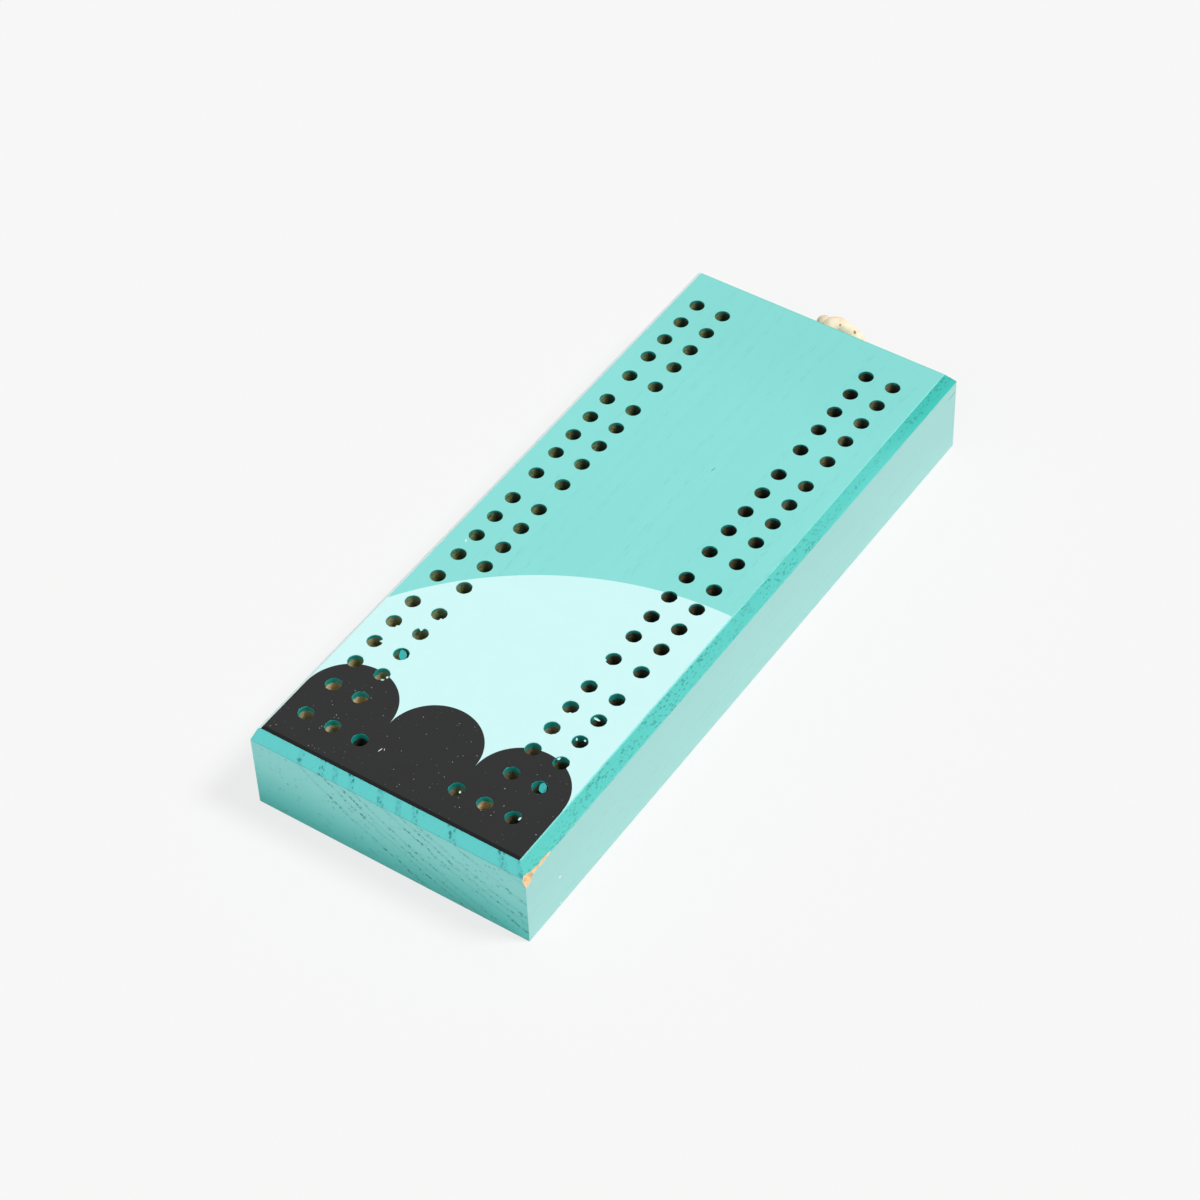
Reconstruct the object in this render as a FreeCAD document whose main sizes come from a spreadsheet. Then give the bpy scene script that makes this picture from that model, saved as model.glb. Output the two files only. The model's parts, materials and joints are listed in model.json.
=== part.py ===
import FreeCAD, Part
import math
import os
import re
import Sketcher

# A pocket cribbage board: one solid hardwood block with two lanes of peg holes,
# and a slim peg drawer that slides out of its far end on a leather-lace pull.
# Frame: Z up, origin at the middle of the block's underside, millimetres.
# The drawer opens towards -Y; the plain bevelled end, where the game starts, is +Y.

os.makedirs("parts", exist_ok=True)
doc = FreeCAD.newDocument("cribbage_box")

# ---------------------------------------------------------------- driving sizes
SIZES = {
    # block
    "board_length": 156.5,
    "board_width": 63.5,
    "board_height": 19.0,
    "side_bevel_width": 3.0,
    "side_bevel_drop": 1.0,
    "end_bevel_width": 2.6,
    "end_bevel_drop": 0.9,
    "eased_edge_width": 0.5,
    "eased_edge_drop": 0.6,
    # peg holes
    "hole_dia": 3.2,
    "hole_depth": 8.0,
    "left_margin": 5.5,
    "right_margin": 9.9,
    "column_pitch": 6.4,
    "far_row_margin": 9.35,
    "row_pitch": 6.25,
    "last_row_pitch": 7.0,
    "group_pitch": 34.1,
    "end_row_margin": 10.4,
    # colour films on the top face
    "film_thickness": 0.12,
    "film_margin": 0.15,
    "band_depth": 14.0,
    "arc_overrun": 12.3,
    # drawer channel and the panel that closes it from below
    "lane_wall": 1.6,
    "channel_roof": 4.2,
    "panel_thickness": 3.2,
    "panel_ledge": 6.5,
    "panel_recess": 0.2,
    "panel_fit": 0.1,
    # wood screws of the panel, and the screw that stops the drawer
    "screw_head_dia": 4.0,
    "screw_shank_dia": 2.0,
    "screw_length": 8.0,
    "screw_sink": 0.1,
    "screw_slot_width": 0.5,
    "screw_slot_depth": 0.4,
    "screw_end_margin": 9.0,
    "stop_screw_margin": 12.0,
    # drawer
    "drawer_length": 120.0,
    "drawer_travel": 86.0,
    "side_gap": 0.3,
    "under_gap": 0.2,
    "over_gap": 0.4,
    "back_gap": 0.3,
    "front_thickness": 6.0,
    "front_lap": 3.0,
    "side_thickness": 2.2,
    "back_thickness": 4.0,
    "bottom_thickness": 1.8,
    "wall_drop": 0.8,
    "groove_depth": 0.9,
    "groove_gap": 0.3,
    "brad_dia": 0.9,
    "brad_length": 6.0,
    "brad_spacing": 4.6,
    # magnets of the catch
    "magnet_dia": 5.0,
    "magnet_thickness": 2.0,
    # leather lace, knotted outside and inside the drawer front
    "lace_dia": 3.5,
    "lace_hole_gap": 0.1,
    "pull_drop": 3.8,
    "knot_gap": 0.3,
    "knot_core_dia": 9.4,
    "knot_crown_dia": 5.2,
    "knot_crown_reach": 3.2,
    "knot_crown_rise": 2.2,
    "knot_heel_dia": 6.0,
    "knot_heel_reach": 3.2,
    "stopper_knot_dia": 5.8,
    # pegs
    "peg_length": 26.0,
    "peg_gap": 0.2,
    "peg_tip_dia": 1.8,
    "peg_tip_length": 1.4,
    "peg_shank_length": 13.0,
    "peg_collar_dia": 4.4,
    "peg_collar_length": 1.2,
    "peg_neck_dia": 2.4,
    "peg_grip_dia": 3.6,
    "peg_crown_length": 1.2,
    "peg_side_gap": 0.3,
    "peg_rest_gap": 0.1,
    "peg_set_margin": 15.0,
    "peg_set_spacing": 28.0,
}
ROWS_PER_GROUP = 5
SCALLOPS = 3
SCREWS_PER_SIDE = 3
PEGS_PER_SET = 3

# As many groups of rows as the length holds between the far margin and the end row.
group_run = 3 * SIZES["row_pitch"] + SIZES["last_row_pitch"]
row_room = SIZES["board_length"] - SIZES["far_row_margin"] - SIZES["end_row_margin"] - SIZES["row_pitch"]
ROW_GROUPS = 1 + math.floor((row_room - group_run) / SIZES["group_pitch"])

sheet = doc.addObject("Spreadsheet::Sheet", "sizes")
for line, (alias, value) in enumerate(SIZES.items(), 1):
    sheet.set(f"A{line}", alias.replace("_", " "))
    sheet.set(f"B{line}", str(value))
    sheet.setAlias(f"B{line}", alias)
doc.recompute()

# Places that several pieces share, as expressions of the driving sizes.
LEFT_SIDE = "(board_width / 2)"
RIGHT_SIDE = "(-board_width / 2)"
NEAR_END = "(board_length / 2)"
FAR_END = "(-board_length / 2)"
CHANNEL_HALF = "(board_width / 2 - right_margin - column_pitch - hole_dia / 2 - lane_wall)"
CHANNEL_TOP = "(board_height - channel_roof)"
CHANNEL_END = f"({FAR_END} + drawer_length + back_gap)"
PANEL_HALF = f"({CHANNEL_HALF} + panel_ledge)"
PANEL_END = f"({CHANNEL_END} + panel_ledge)"
SCREW_COLUMN = f"({CHANNEL_HALF} + panel_ledge / 2)"
SCREW_HEAD_FACE = "(panel_recess + screw_sink)"
STOP_SCREW_Y = f"({FAR_END} + stop_screw_margin)"
DRAWER_HALF = f"({CHANNEL_HALF} - side_gap)"
DRAWER_FLOOR = "(panel_thickness + under_gap)"
DRAWER_TOP = f"({CHANNEL_TOP} - over_gap)"
WALL_TOP = f"({DRAWER_TOP} - wall_drop)"
WALL_INNER = f"({DRAWER_HALF} - side_thickness)"
FRONT_BACK = f"({FAR_END} + front_thickness)"
DRAWER_END = f"({FAR_END} + drawer_length)"
BACK_FACE = f"({DRAWER_END} - back_thickness)"
TRAY_FLOOR = f"({DRAWER_FLOOR} + bottom_thickness)"
PULL_Z = f"({DRAWER_TOP} - pull_drop)"
WALL_MIDDLE_Z = f"(({DRAWER_FLOOR} + {WALL_TOP}) / 2)"
FILM_LEFT = f"({LEFT_SIDE} - eased_edge_width - film_margin)"
FILM_RIGHT = f"({RIGHT_SIDE} + side_bevel_width + film_margin)"
FILM_NEAR = f"({NEAR_END} - end_bevel_width - film_margin)"
FILM_WIDTH = f"({FILM_LEFT} - {FILM_RIGHT})"
PROUD = 1.0  # how far a cutting tool runs past the face it opens


def cells(expression):
    """Names the sheet in front of every alias of an expression."""
    return re.sub(r"[a-z]+(_[a-z]+)+", r"sizes.\g<0>", expression)


def bind(thing, **properties):
    """Binds properties of an object to the sheet; a dotted path is written with two underscores."""
    for path, expression in properties.items():
        thing.setExpression(path.replace("__", "."), cells(str(expression)))
    return thing


def place(thing, x="0", y="0", z="0"):
    """Binds an object's position to the sheet."""
    return bind(thing, Placement__Base__x=x, Placement__Base__y=y, Placement__Base__z=z)


# ---------------------------------------------------------------- sketches and features
def new_body(label):
    body = doc.addObject("PartDesign::Body", label)
    body.Label = label
    return body


def new_sketch(body, name, plane, offset="0"):
    """A sketch on one of the body's own origin planes, moved along that plane's normal."""
    sketch = body.newObject("Sketcher::SketchObject", name)
    support = next(item for item in body.Origin.OriginFeatures if item.Role == plane)
    sketch.AttachmentSupport = (support, "")
    sketch.MapMode = "FlatFace"
    bind(sketch, AttachmentOffset__Base__z=offset)
    return sketch


def pin_point(sketch, geometry, point, across, up):
    """Holds a point of the sketch at a bound distance from its origin, both ways."""
    for kind, expression in (("DistanceX", across), ("DistanceY", up)):
        index = sketch.addConstraint(Sketcher.Constraint(kind, -1, 1, geometry, point, 1.0))
        sketch.setExpression(f"Constraints[{index}]", cells(expression))


def add_polygon(sketch, points):
    """A closed outline of straight lines through the bound points."""
    count = len(points)
    ring = [FreeCAD.Vector(10, 0, 0)]
    turn = FreeCAD.Rotation(FreeCAD.Vector(0, 0, 1), 360.0 / count)
    for _ in range(count):
        ring.append(turn.multVec(ring[-1]))
    first = sketch.GeometryCount
    for start, end in zip(ring[:-1], ring[1:]):
        sketch.addGeometry(Part.LineSegment(start, end))
    for step in range(count):
        following = first + (step + 1) % count
        sketch.addConstraint(Sketcher.Constraint("Coincident", first + step, 2, following, 1))
    for step, (across, up) in enumerate(points):
        pin_point(sketch, first + step, 1, across, up)


def add_rectangle(sketch, low, high):
    add_polygon(sketch, [low, (high[0], low[1]), high, (low[0], high[1])])


def add_circle(sketch, centre, diameter):
    geometry = sketch.addGeometry(Part.Circle(FreeCAD.Vector(1, 1, 0), FreeCAD.Vector(0, 0, 1), 1))
    pin_point(sketch, geometry, 3, *centre)
    index = sketch.addConstraint(Sketcher.Constraint("Diameter", geometry, 2.0))
    sketch.setExpression(f"Constraints[{index}]", cells(diameter))


def pad(body, sketch, length, midplane=False, reverse=False):
    feature = body.newObject("PartDesign::Pad", sketch.Name + "_pad")
    feature.Profile = sketch
    feature.Midplane = midplane
    feature.Reversed = reverse
    bind(feature, Length=length)
    return feature


def pocket(body, sketch, length=None, reverse=False):
    """A pocket of a bound depth, or through everything both ways when no depth is given."""
    doc.recompute()
    before = body.Shape.Volume
    feature = body.newObject("PartDesign::Pocket", sketch.Name + "_pocket")
    feature.Profile = sketch
    feature.Reversed = reverse
    if length is None:
        feature.Type = "ThroughAll"
        feature.Midplane = True
    else:
        bind(feature, Length=length)
    doc.recompute()
    if not body.Shape.Volume < before:
        raise RuntimeError(f"{feature.Name} removes nothing")
    return feature


# ---------------------------------------------------------------- primitives and booleans
def cylinder(name, diameter, height, x, y, z):
    """An upright cylinder standing on the point x, y, z."""
    solid = bind(doc.addObject("Part::Cylinder", name), Radius=f"{diameter} / 2", Height=height)
    return place(solid, x, y, z)


def lying_cylinder(name, diameter, height, axis, angle, x, y, z):
    """A cylinder turned from upright about an axis."""
    rod = cylinder(name, diameter, height, x, y, z)
    rod.Placement.Rotation = FreeCAD.Rotation(axis, angle)
    return rod


def ball(name, diameter, x, y, z):
    """A sphere with its poles along Y, clear of the seams of its neighbours."""
    sphere = bind(doc.addObject("Part::Sphere", name), Radius=f"{diameter} / 2")
    sphere.Placement.Rotation = FreeCAD.Rotation(FreeCAD.Vector(1, 0, 0), 90)
    return place(sphere, x, y, z)


def block(name, low, high):
    """A box between two bound corners."""
    spans = [f"({top}) - ({bottom})" for bottom, top in zip(low, high)]
    slab = bind(doc.addObject("Part::Box", name), Length=spans[0], Width=spans[1], Height=spans[2])
    return place(slab, *low)


def cut(label, base, tool):
    result = doc.addObject("Part::Cut", label)
    result.Base = base
    result.Tool = tool
    result.Label = label
    return result


def fuse(label, shapes):
    result = doc.addObject("Part::MultiFuse", label)
    result.Shapes = shapes
    result.Label = label
    return result


def common(label, shapes):
    result = doc.addObject("Part::MultiCommon", label)
    result.Shapes = shapes
    result.Label = label
    return result


def group(label, links):
    """Separate solids kept together as one sub-part."""
    result = doc.addObject("Part::Compound", label)
    result.Links = links
    result.Label = label
    return result


# ---------------------------------------------------------------- peg holes
def hole_places():
    """The x and y of every peg hole: two columns a lane, rows in fives, then a short end row."""
    left_columns = [f"({LEFT_SIDE} - left_margin - {step} * column_pitch)" for step in range(3)]
    right_columns = [f"({RIGHT_SIDE} + right_margin + {step} * column_pitch)" for step in range(3)]
    places = []
    for row_group in range(ROW_GROUPS):
        for row in range(ROWS_PER_GROUP):
            steps = f"{row} * row_pitch"
            if row == ROWS_PER_GROUP - 1:
                steps = f"{row - 1} * row_pitch + last_row_pitch"
            y = f"{FAR_END} + far_row_margin + {row_group} * group_pitch + {steps}"
            places += [(x, y) for x in left_columns[:2] + right_columns[:2]]
    end_row = f"{NEAR_END} - end_row_margin"
    places += [(x, end_row) for x in left_columns + right_columns]
    return places


def peg_hole_tool():
    rods = []
    for number, (x, y) in enumerate(hole_places(), 1):
        depth = f"hole_depth + film_thickness + {PROUD}"
        rods.append(cylinder(f"peg_hole_{number}", "hole_dia", depth, x, y, "board_height - hole_depth"))
    return group("peg_hole_tool", rods)


# ---------------------------------------------------------------- the block
def board_block(peg_holes, catch_magnet):
    """Solid block: bevelled along one long side and the near end, routed from below."""
    body = new_body("board_blank")
    section = new_sketch(body, "board_section", "XZ_Plane")
    add_polygon(section, [
        (RIGHT_SIDE, "0"),
        (LEFT_SIDE, "0"),
        (LEFT_SIDE, "board_height - eased_edge_drop"),
        (f"{LEFT_SIDE} - eased_edge_width", "board_height"),
        (f"{RIGHT_SIDE} + side_bevel_width", "board_height"),
        (RIGHT_SIDE, "board_height - side_bevel_drop"),
    ])
    pad(body, section, "board_length", midplane=True)
    bevel = new_sketch(body, "end_bevel", "YZ_Plane")
    add_polygon(bevel, [
        (f"{NEAR_END} - end_bevel_width", "board_height"),
        (NEAR_END, "board_height - end_bevel_drop"),
        (NEAR_END, "board_height"),
    ])
    pocket(body, bevel)
    channel = new_sketch(body, "drawer_channel", "XY_Plane")
    add_rectangle(channel, (f"-{CHANNEL_HALF}", FAR_END), (CHANNEL_HALF, CHANNEL_END))
    pocket(body, channel, CHANNEL_TOP, reverse=True)
    rebate = new_sketch(body, "panel_rebate", "XY_Plane")
    add_rectangle(rebate, (f"-{PANEL_HALF}", FAR_END), (PANEL_HALF, PANEL_END))
    pocket(body, rebate, "panel_thickness", reverse=True)
    pilots = new_sketch(body, "screw_pilots", "XY_Plane", "panel_thickness")
    for centre in panel_screw_places():
        add_circle(pilots, centre, "screw_shank_dia")
    pocket(body, pilots, f"{SCREW_HEAD_FACE} + screw_length - panel_thickness", reverse=True)
    drilled = cut("board_drilled", body, peg_holes)
    return cut("board_block", drilled, catch_magnet)


# ---------------------------------------------------------------- colour films
def top_slab(name, near, far):
    """A slab of film over the flat of the top face, between two distances along Y."""
    top = "board_height + film_thickness"
    return block(name, (FILM_RIGHT, far, "board_height"), (FILM_LEFT, near, top))


def black_field():
    """A band along the near end with a row of half-round scallops on its inner edge."""
    band_edge = f"({FILM_NEAR} - band_depth)"
    pieces = [top_slab("black_band", FILM_NEAR, band_edge)]
    for scallop in range(SCALLOPS):
        x = f"{FILM_RIGHT} + {FILM_WIDTH} * {(scallop + 0.5) / SCALLOPS}"
        dia = f"({FILM_WIDTH} / {SCALLOPS})"
        pieces.append(cylinder(f"scallop_{scallop + 1}", dia, "film_thickness", x, band_edge, "board_height"))
    return fuse("black_field", pieces)


def pale_field(black):
    """A quarter disc about the near right corner, less what the black film covers."""
    slab = top_slab("pale_slab", FILM_NEAR, FAR_END)
    dia = f"2 * ({FILM_WIDTH} + arc_overrun)"
    disc = cylinder("pale_disc", dia, "film_thickness", FILM_RIGHT, FILM_NEAR, "board_height")
    return cut("pale_field", common("pale_quarter", [slab, disc]), black)


# ---------------------------------------------------------------- base panel and screws
def panel_screw_places():
    run = f"({PANEL_END} - {FAR_END} - 2 * screw_end_margin)"
    places = []
    for sign in ("", "-"):
        for step in range(SCREWS_PER_SIDE):
            y = f"{FAR_END} + screw_end_margin + {run} * {step / (SCREWS_PER_SIDE - 1)}"
            places.append((f"{sign}{SCREW_COLUMN}", y))
    return places


def base_panel():
    """Thin panel let into the underside; it closes the channel and the drawer runs on it."""
    body = new_body("base_panel")
    outline = new_sketch(body, "panel_outline", "XY_Plane", "panel_recess")
    half = f"({PANEL_HALF} - panel_fit)"
    add_rectangle(outline, (f"-{half}", FAR_END), (half, f"{PANEL_END} - panel_fit"))
    pad(body, outline, "panel_thickness - panel_recess")
    seats = new_sketch(body, "screw_seats", "XY_Plane", "panel_recess")
    for centre in panel_screw_places() + [("0", STOP_SCREW_Y)]:
        add_circle(seats, centre, "screw_shank_dia")
    doc.recompute()
    hole = body.newObject("PartDesign::Hole", "countersunk_holes")
    hole.Profile = seats
    hole.Reversed = True
    hole.DepthType = "ThroughAll"
    hole.HoleCutType = "Countersink"
    hole.HoleCutCustomValues = True
    hole.HoleCutCountersinkAngle = 90
    bind(hole, Diameter="screw_shank_dia", HoleCutDiameter="screw_head_dia + 2 * screw_sink")
    return body


def screw(name, x, y, length):
    """A slotted flat-head screw standing head down, its head just under the panel's face."""
    head = bind(doc.addObject("Part::Cone", f"{name}_head"), Radius1="screw_head_dia / 2",
                Radius2="screw_shank_dia / 2", Height="(screw_head_dia - screw_shank_dia) / 2")
    place(head, x, y, SCREW_HEAD_FACE)
    shank = cylinder(f"{name}_shank", "screw_shank_dia", length, x, y, SCREW_HEAD_FACE)
    slot_top = f"{SCREW_HEAD_FACE} + screw_slot_depth"
    slot_low = (f"{x} - screw_head_dia", f"{y} - screw_slot_width / 2", "0")
    slot_high = (f"{x} + screw_head_dia", f"{y} + screw_slot_width / 2", slot_top)
    return cut(name, fuse(f"{name}_blank", [head, shank]), block(f"{name}_slot", slot_low, slot_high))


def panel_screws():
    screws = []
    for number, (x, y) in enumerate(panel_screw_places(), 1):
        screws.append(screw(f"panel_screw_{number}", x, y, "screw_length"))
    return group("panel_screws", screws)


def stop_screw():
    """Its tip stands in the groove under the drawer and stops the drawer at full travel."""
    tip = f"{DRAWER_FLOOR} + groove_depth - groove_gap"
    return screw("stop_screw", "0", STOP_SCREW_Y, f"{tip} - {SCREW_HEAD_FACE}")


# ---------------------------------------------------------------- magnets and brads
def magnet(label, y):
    """A disc magnet on edge, let flush into the wood, its axis along Y."""
    disc = lying_cylinder(label, "magnet_dia", "magnet_thickness", FreeCAD.Vector(1, 0, 0), -90,
                          "0", y, WALL_MIDDLE_Z)
    disc.Label = label
    return disc


def drawer_brads():
    """Two brads at each corner of the drawer, driven through the sides."""
    rods = []
    across = FreeCAD.Vector(0, 1, 0)
    stations = (f"{FRONT_BACK} - front_lap / 2", f"{DRAWER_END} - back_thickness / 2")
    for y in stations:
        for offset in ("- brad_spacing / 2", "+ brad_spacing / 2"):
            z = f"{WALL_MIDDLE_Z} {offset}"
            for turn, x in ((-90, DRAWER_HALF), (90, f"-{DRAWER_HALF}")):
                name = f"brad_{len(rods) + 1}"
                rods.append(lying_cylinder(name, "brad_dia", "brad_length", across, turn, x, y, z))
    return group("drawer_brads", rods)


# ---------------------------------------------------------------- drawer
def drawer_front(brads):
    """Front block, rebated at both ends for the sides, with the lace hole through its middle."""
    body = new_body("front_blank")
    plan = new_sketch(body, "front_plan", "XY_Plane", DRAWER_FLOOR)
    shoulder = f"{FRONT_BACK} - front_lap"
    add_polygon(plan, [
        (f"-{DRAWER_HALF}", FAR_END),
        (DRAWER_HALF, FAR_END),
        (DRAWER_HALF, shoulder),
        (WALL_INNER, shoulder),
        (WALL_INNER, FRONT_BACK),
        (f"-{WALL_INNER}", FRONT_BACK),
        (f"-{WALL_INNER}", shoulder),
        (f"-{DRAWER_HALF}", shoulder),
    ])
    pad(body, plan, f"{DRAWER_TOP} - {DRAWER_FLOOR}")
    lace_hole = new_sketch(body, "lace_hole", "XZ_Plane")
    add_circle(lace_hole, ("0", PULL_Z), "lace_dia + 2 * lace_hole_gap")
    pocket(body, lace_hole)
    return cut("drawer_front", body, brads)


def drawer_side(label, sign, brads):
    """A side strip, lapped into the front and running to the drawer's end."""
    near = f"{FRONT_BACK} - front_lap"
    inner, outer = (f"{sign}{WALL_INNER}", f"{sign}{DRAWER_HALF}")
    low_x, high_x = (outer, inner) if sign else (inner, outer)
    strip = block(f"{label}_strip", (low_x, near, DRAWER_FLOOR), (high_x, DRAWER_END, WALL_TOP))
    return cut(label, strip, brads)


def drawer_back(brads, drawer_magnet):
    low = (f"-{WALL_INNER}", BACK_FACE, DRAWER_FLOOR)
    strip = block("back_strip", low, (WALL_INNER, DRAWER_END, WALL_TOP))
    return cut("drawer_back", cut("back_nailed", strip, brads), drawer_magnet)


def drawer_bottom():
    """Thin bottom between the walls, grooved underneath for the tip of the stop screw."""
    body = new_body("drawer_bottom")
    plan = new_sketch(body, "bottom_plan", "XY_Plane", DRAWER_FLOOR)
    add_rectangle(plan, (f"-{WALL_INNER}", FRONT_BACK), (WALL_INNER, BACK_FACE))
    pad(body, plan, "bottom_thickness")
    groove = new_sketch(body, "stop_groove", "XY_Plane", DRAWER_FLOOR)
    half = "(screw_shank_dia / 2 + groove_gap)"
    groove_end = f"{STOP_SCREW_Y} + drawer_travel + {half}"
    add_rectangle(groove, (f"-{half}", f"{STOP_SCREW_Y} - {half}"), (half, groove_end))
    pocket(body, groove, "groove_depth", reverse=True)
    return body


# ---------------------------------------------------------------- leather pull
def leather_pull():
    """One lace through the drawer front: a lumpy knot outside and a small stopper knot inside."""
    core_y = f"({FAR_END} - knot_gap - knot_core_dia / 2)"
    inner_y = f"({FRONT_BACK} + knot_gap + stopper_knot_dia / 2)"
    crown_z = f"{PULL_Z} + knot_crown_rise"
    lumps = [
        ball("knot_core", "knot_core_dia", "0", core_y, PULL_Z),
        ball("knot_crown", "knot_crown_dia", "knot_crown_reach", core_y, crown_z),
        ball("knot_heel", "knot_heel_dia", "-knot_heel_reach", core_y, PULL_Z),
        ball("stopper_knot", "stopper_knot_dia", "0", inner_y, PULL_Z),
        lying_cylinder("lace_run", "lace_dia", f"{inner_y} - {core_y}", FreeCAD.Vector(1, 0, 0), -90,
                       "0", core_y, PULL_Z),
    ]
    return fuse("leather_pull", lumps)


# ---------------------------------------------------------------- pegs
def peg(label, number, set_start, heads_inward):
    """A turned peg lying on the drawer's bottom, on its collar and the foot of its shank."""
    body = new_body(label)
    profile = new_sketch(body, f"{label}_profile", "XZ_Plane")
    shank = "(hole_dia - peg_gap) / 2"
    collar_top = "(peg_shank_length + peg_collar_length)"
    add_polygon(profile, [
        ("0", "0"),
        ("peg_tip_dia / 2", "0"),
        (shank, "peg_tip_length"),
        (shank, "peg_shank_length"),
        ("peg_collar_dia / 2", "peg_shank_length"),
        ("peg_collar_dia / 2", collar_top),
        ("peg_neck_dia / 2", f"{collar_top} + peg_collar_length"),
        ("peg_grip_dia / 2", "peg_length - peg_crown_length"),
        ("peg_neck_dia / 2", "peg_length"),
        ("0", "peg_length"),
    ])
    turned = body.newObject("PartDesign::Revolution", f"{label}_turned")
    turned.Profile = profile
    turned.ReferenceAxis = (profile, ["V_Axis"])
    turned.Angle = 360
    tilt = f"atan((peg_collar_dia / 2 - {shank}) / (peg_shank_length - peg_tip_length))"
    rise = f"({shank} - peg_tip_length * tan({tilt})) * cos({tilt})"
    spacing = f"(2 * {WALL_INNER} - peg_collar_dia - 2 * peg_side_gap) / {PEGS_PER_SET - 1}"
    column = f"({number} - {(PEGS_PER_SET + 1) / 2}) * {spacing}"
    sense = 1 if heads_inward else -1
    start = set_start if heads_inward else f"{set_start} + peg_length"
    body.Placement.Rotation = FreeCAD.Rotation(FreeCAD.Vector(-sense, 0, 0), 90)
    bind(body, Placement__Rotation__Angle=f"90 deg - {tilt}")
    return place(body, column, start, f"{TRAY_FLOOR} + peg_rest_gap + {rise}")


def peg_sets():
    """Two players' pegs, one set behind the other, turned head to tail within a set."""
    pegs = []
    for place_in_drawer, colour in enumerate(("light", "dark")):
        start = f"{FAR_END} + peg_set_margin + {place_in_drawer} * peg_set_spacing"
        for number in range(1, PEGS_PER_SET + 1):
            pegs.append(peg(f"peg_{colour}_{number}", number, start, number % 2 == 1))
    return pegs


# ---------------------------------------------------------------- assembly
peg_holes = peg_hole_tool()
catch_magnet = magnet("catch_magnet", CHANNEL_END)
drawer_magnet = magnet("drawer_magnet", f"{DRAWER_END} - magnet_thickness")
brads = drawer_brads()
black = black_field()
subparts = [
    board_block(peg_holes, catch_magnet),
    base_panel(),
    panel_screws(),
    stop_screw(),
    catch_magnet,
    cut("film_pale", pale_field(black), peg_holes),
    cut("film_black", black, peg_holes),
    drawer_front(brads),
    drawer_side("drawer_side_left", "-", brads),
    drawer_side("drawer_side_right", "", brads),
    drawer_back(brads, drawer_magnet),
    drawer_bottom(),
    drawer_magnet,
    brads,
    leather_pull(),
] + peg_sets()
doc.recompute()

for item in doc.Objects:
    if "Invalid" in item.State or "Error" in item.State:
        raise RuntimeError(f"{item.Name} failed: {item.State}")
for subpart in subparts:
    if subpart.Shape.isNull() or not subpart.Shape.isValid():
        raise RuntimeError(f"{subpart.Label} has no valid shape")
for subpart in subparts:
    subpart.Shape.exportStep(f"parts/{subpart.Label}.step")
    box = subpart.Shape.BoundBox
    print(f"{subpart.Label:18} solids {len(subpart.Shape.Solids)} volume {subpart.Shape.Volume:9.2f}"
          f"  x {box.XMin:7.2f} {box.XMax:7.2f}  y {box.YMin:7.2f} {box.YMax:7.2f}"
          f"  z {box.ZMin:6.2f} {box.ZMax:6.2f}")
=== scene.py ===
import json
import math

import bpy
from mathutils import Matrix, Vector, noise


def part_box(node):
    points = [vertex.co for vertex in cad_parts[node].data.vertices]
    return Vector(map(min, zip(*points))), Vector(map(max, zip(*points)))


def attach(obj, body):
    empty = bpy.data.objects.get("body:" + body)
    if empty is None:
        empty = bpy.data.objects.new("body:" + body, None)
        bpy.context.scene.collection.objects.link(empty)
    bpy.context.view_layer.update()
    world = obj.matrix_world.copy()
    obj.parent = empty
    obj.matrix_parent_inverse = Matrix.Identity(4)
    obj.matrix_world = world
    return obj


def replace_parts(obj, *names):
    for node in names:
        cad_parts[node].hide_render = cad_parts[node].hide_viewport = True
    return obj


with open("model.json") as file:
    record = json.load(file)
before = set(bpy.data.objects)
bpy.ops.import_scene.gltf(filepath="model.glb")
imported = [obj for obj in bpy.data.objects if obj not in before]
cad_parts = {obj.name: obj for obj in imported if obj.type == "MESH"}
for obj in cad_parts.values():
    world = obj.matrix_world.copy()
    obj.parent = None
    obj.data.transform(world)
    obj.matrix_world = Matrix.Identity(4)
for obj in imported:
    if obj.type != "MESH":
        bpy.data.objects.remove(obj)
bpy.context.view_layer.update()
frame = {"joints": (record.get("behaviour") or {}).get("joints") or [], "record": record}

# ------------------- the block
# One length of ring-porous hardwood, planed on all sides, bevelled along one long side and across
# the starting end, and drilled with 86 blind peg holes. Sprayed with a thin matt paint that lets
# the open pores show; the sawn underside is left bare, and the drawer's channel is routed into it.
MM = 0.001
block_low, block_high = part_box("board_block")
panel_low, panel_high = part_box("base_panel")
front_low, front_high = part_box("drawer_front")
catch_low, catch_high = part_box("catch_magnet")
TOP = block_high.z
NEAR_END = block_high.y
FAR_END = block_low.y
LEFT_SIDE = block_high.x
RIGHT_SIDE = block_low.x
SIDE_BEVEL = Vector((3.0, 0, 1.0)) * MM
END_BEVEL = Vector((0, 2.7, 0.93)) * MM
BEVEL_RUN_OUT = 0.5 * MM
EASED_EDGE = Vector((0.62, 0, 0.14)) * MM
ARRIS_WIDTH = 0.16 * MM
CHANNEL_GAP = 0.3 * MM
CHANNEL_ROOF = 0.4 * MM
PANEL_FIT = 0.1 * MM
PAST = 2 * MM
SHARP_ANGLE = math.radians(12)
CUT_THRESHOLD = 1e-7

# The one teal paint is given its own colour on each side of the block, as lit and shaded copies of it, so
# light and shade are painted in. The top and the long sides carry a painted white sheen, the sides most and
# the bevels less of it, and the end grain darkens towards the bottom as painted shade. The top and the side
# bevel also turn darker towards the far end.
PAINT = (0.252, 0.748, 0.697)
PAINT_FAR = (0.230, 0.715, 0.662)
END_PAINT_HIGH = (0.260, 0.745, 0.705)
END_PAINT_SHADED_LOW = (0.066, 0.545, 0.500)
SIDE_PAINT_WITH_SHEEN = (0.353, 0.690, 0.652)
BEVEL_PAINT = (0.086, 0.605, 0.540)
BEVEL_PAINT_FAR = (0.020, 0.505, 0.432)
NEAR_BEVEL_PAINT = (0.112, 0.605, 0.585)
EDGE_PAINT = (0.240, 0.770, 0.720)
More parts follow.
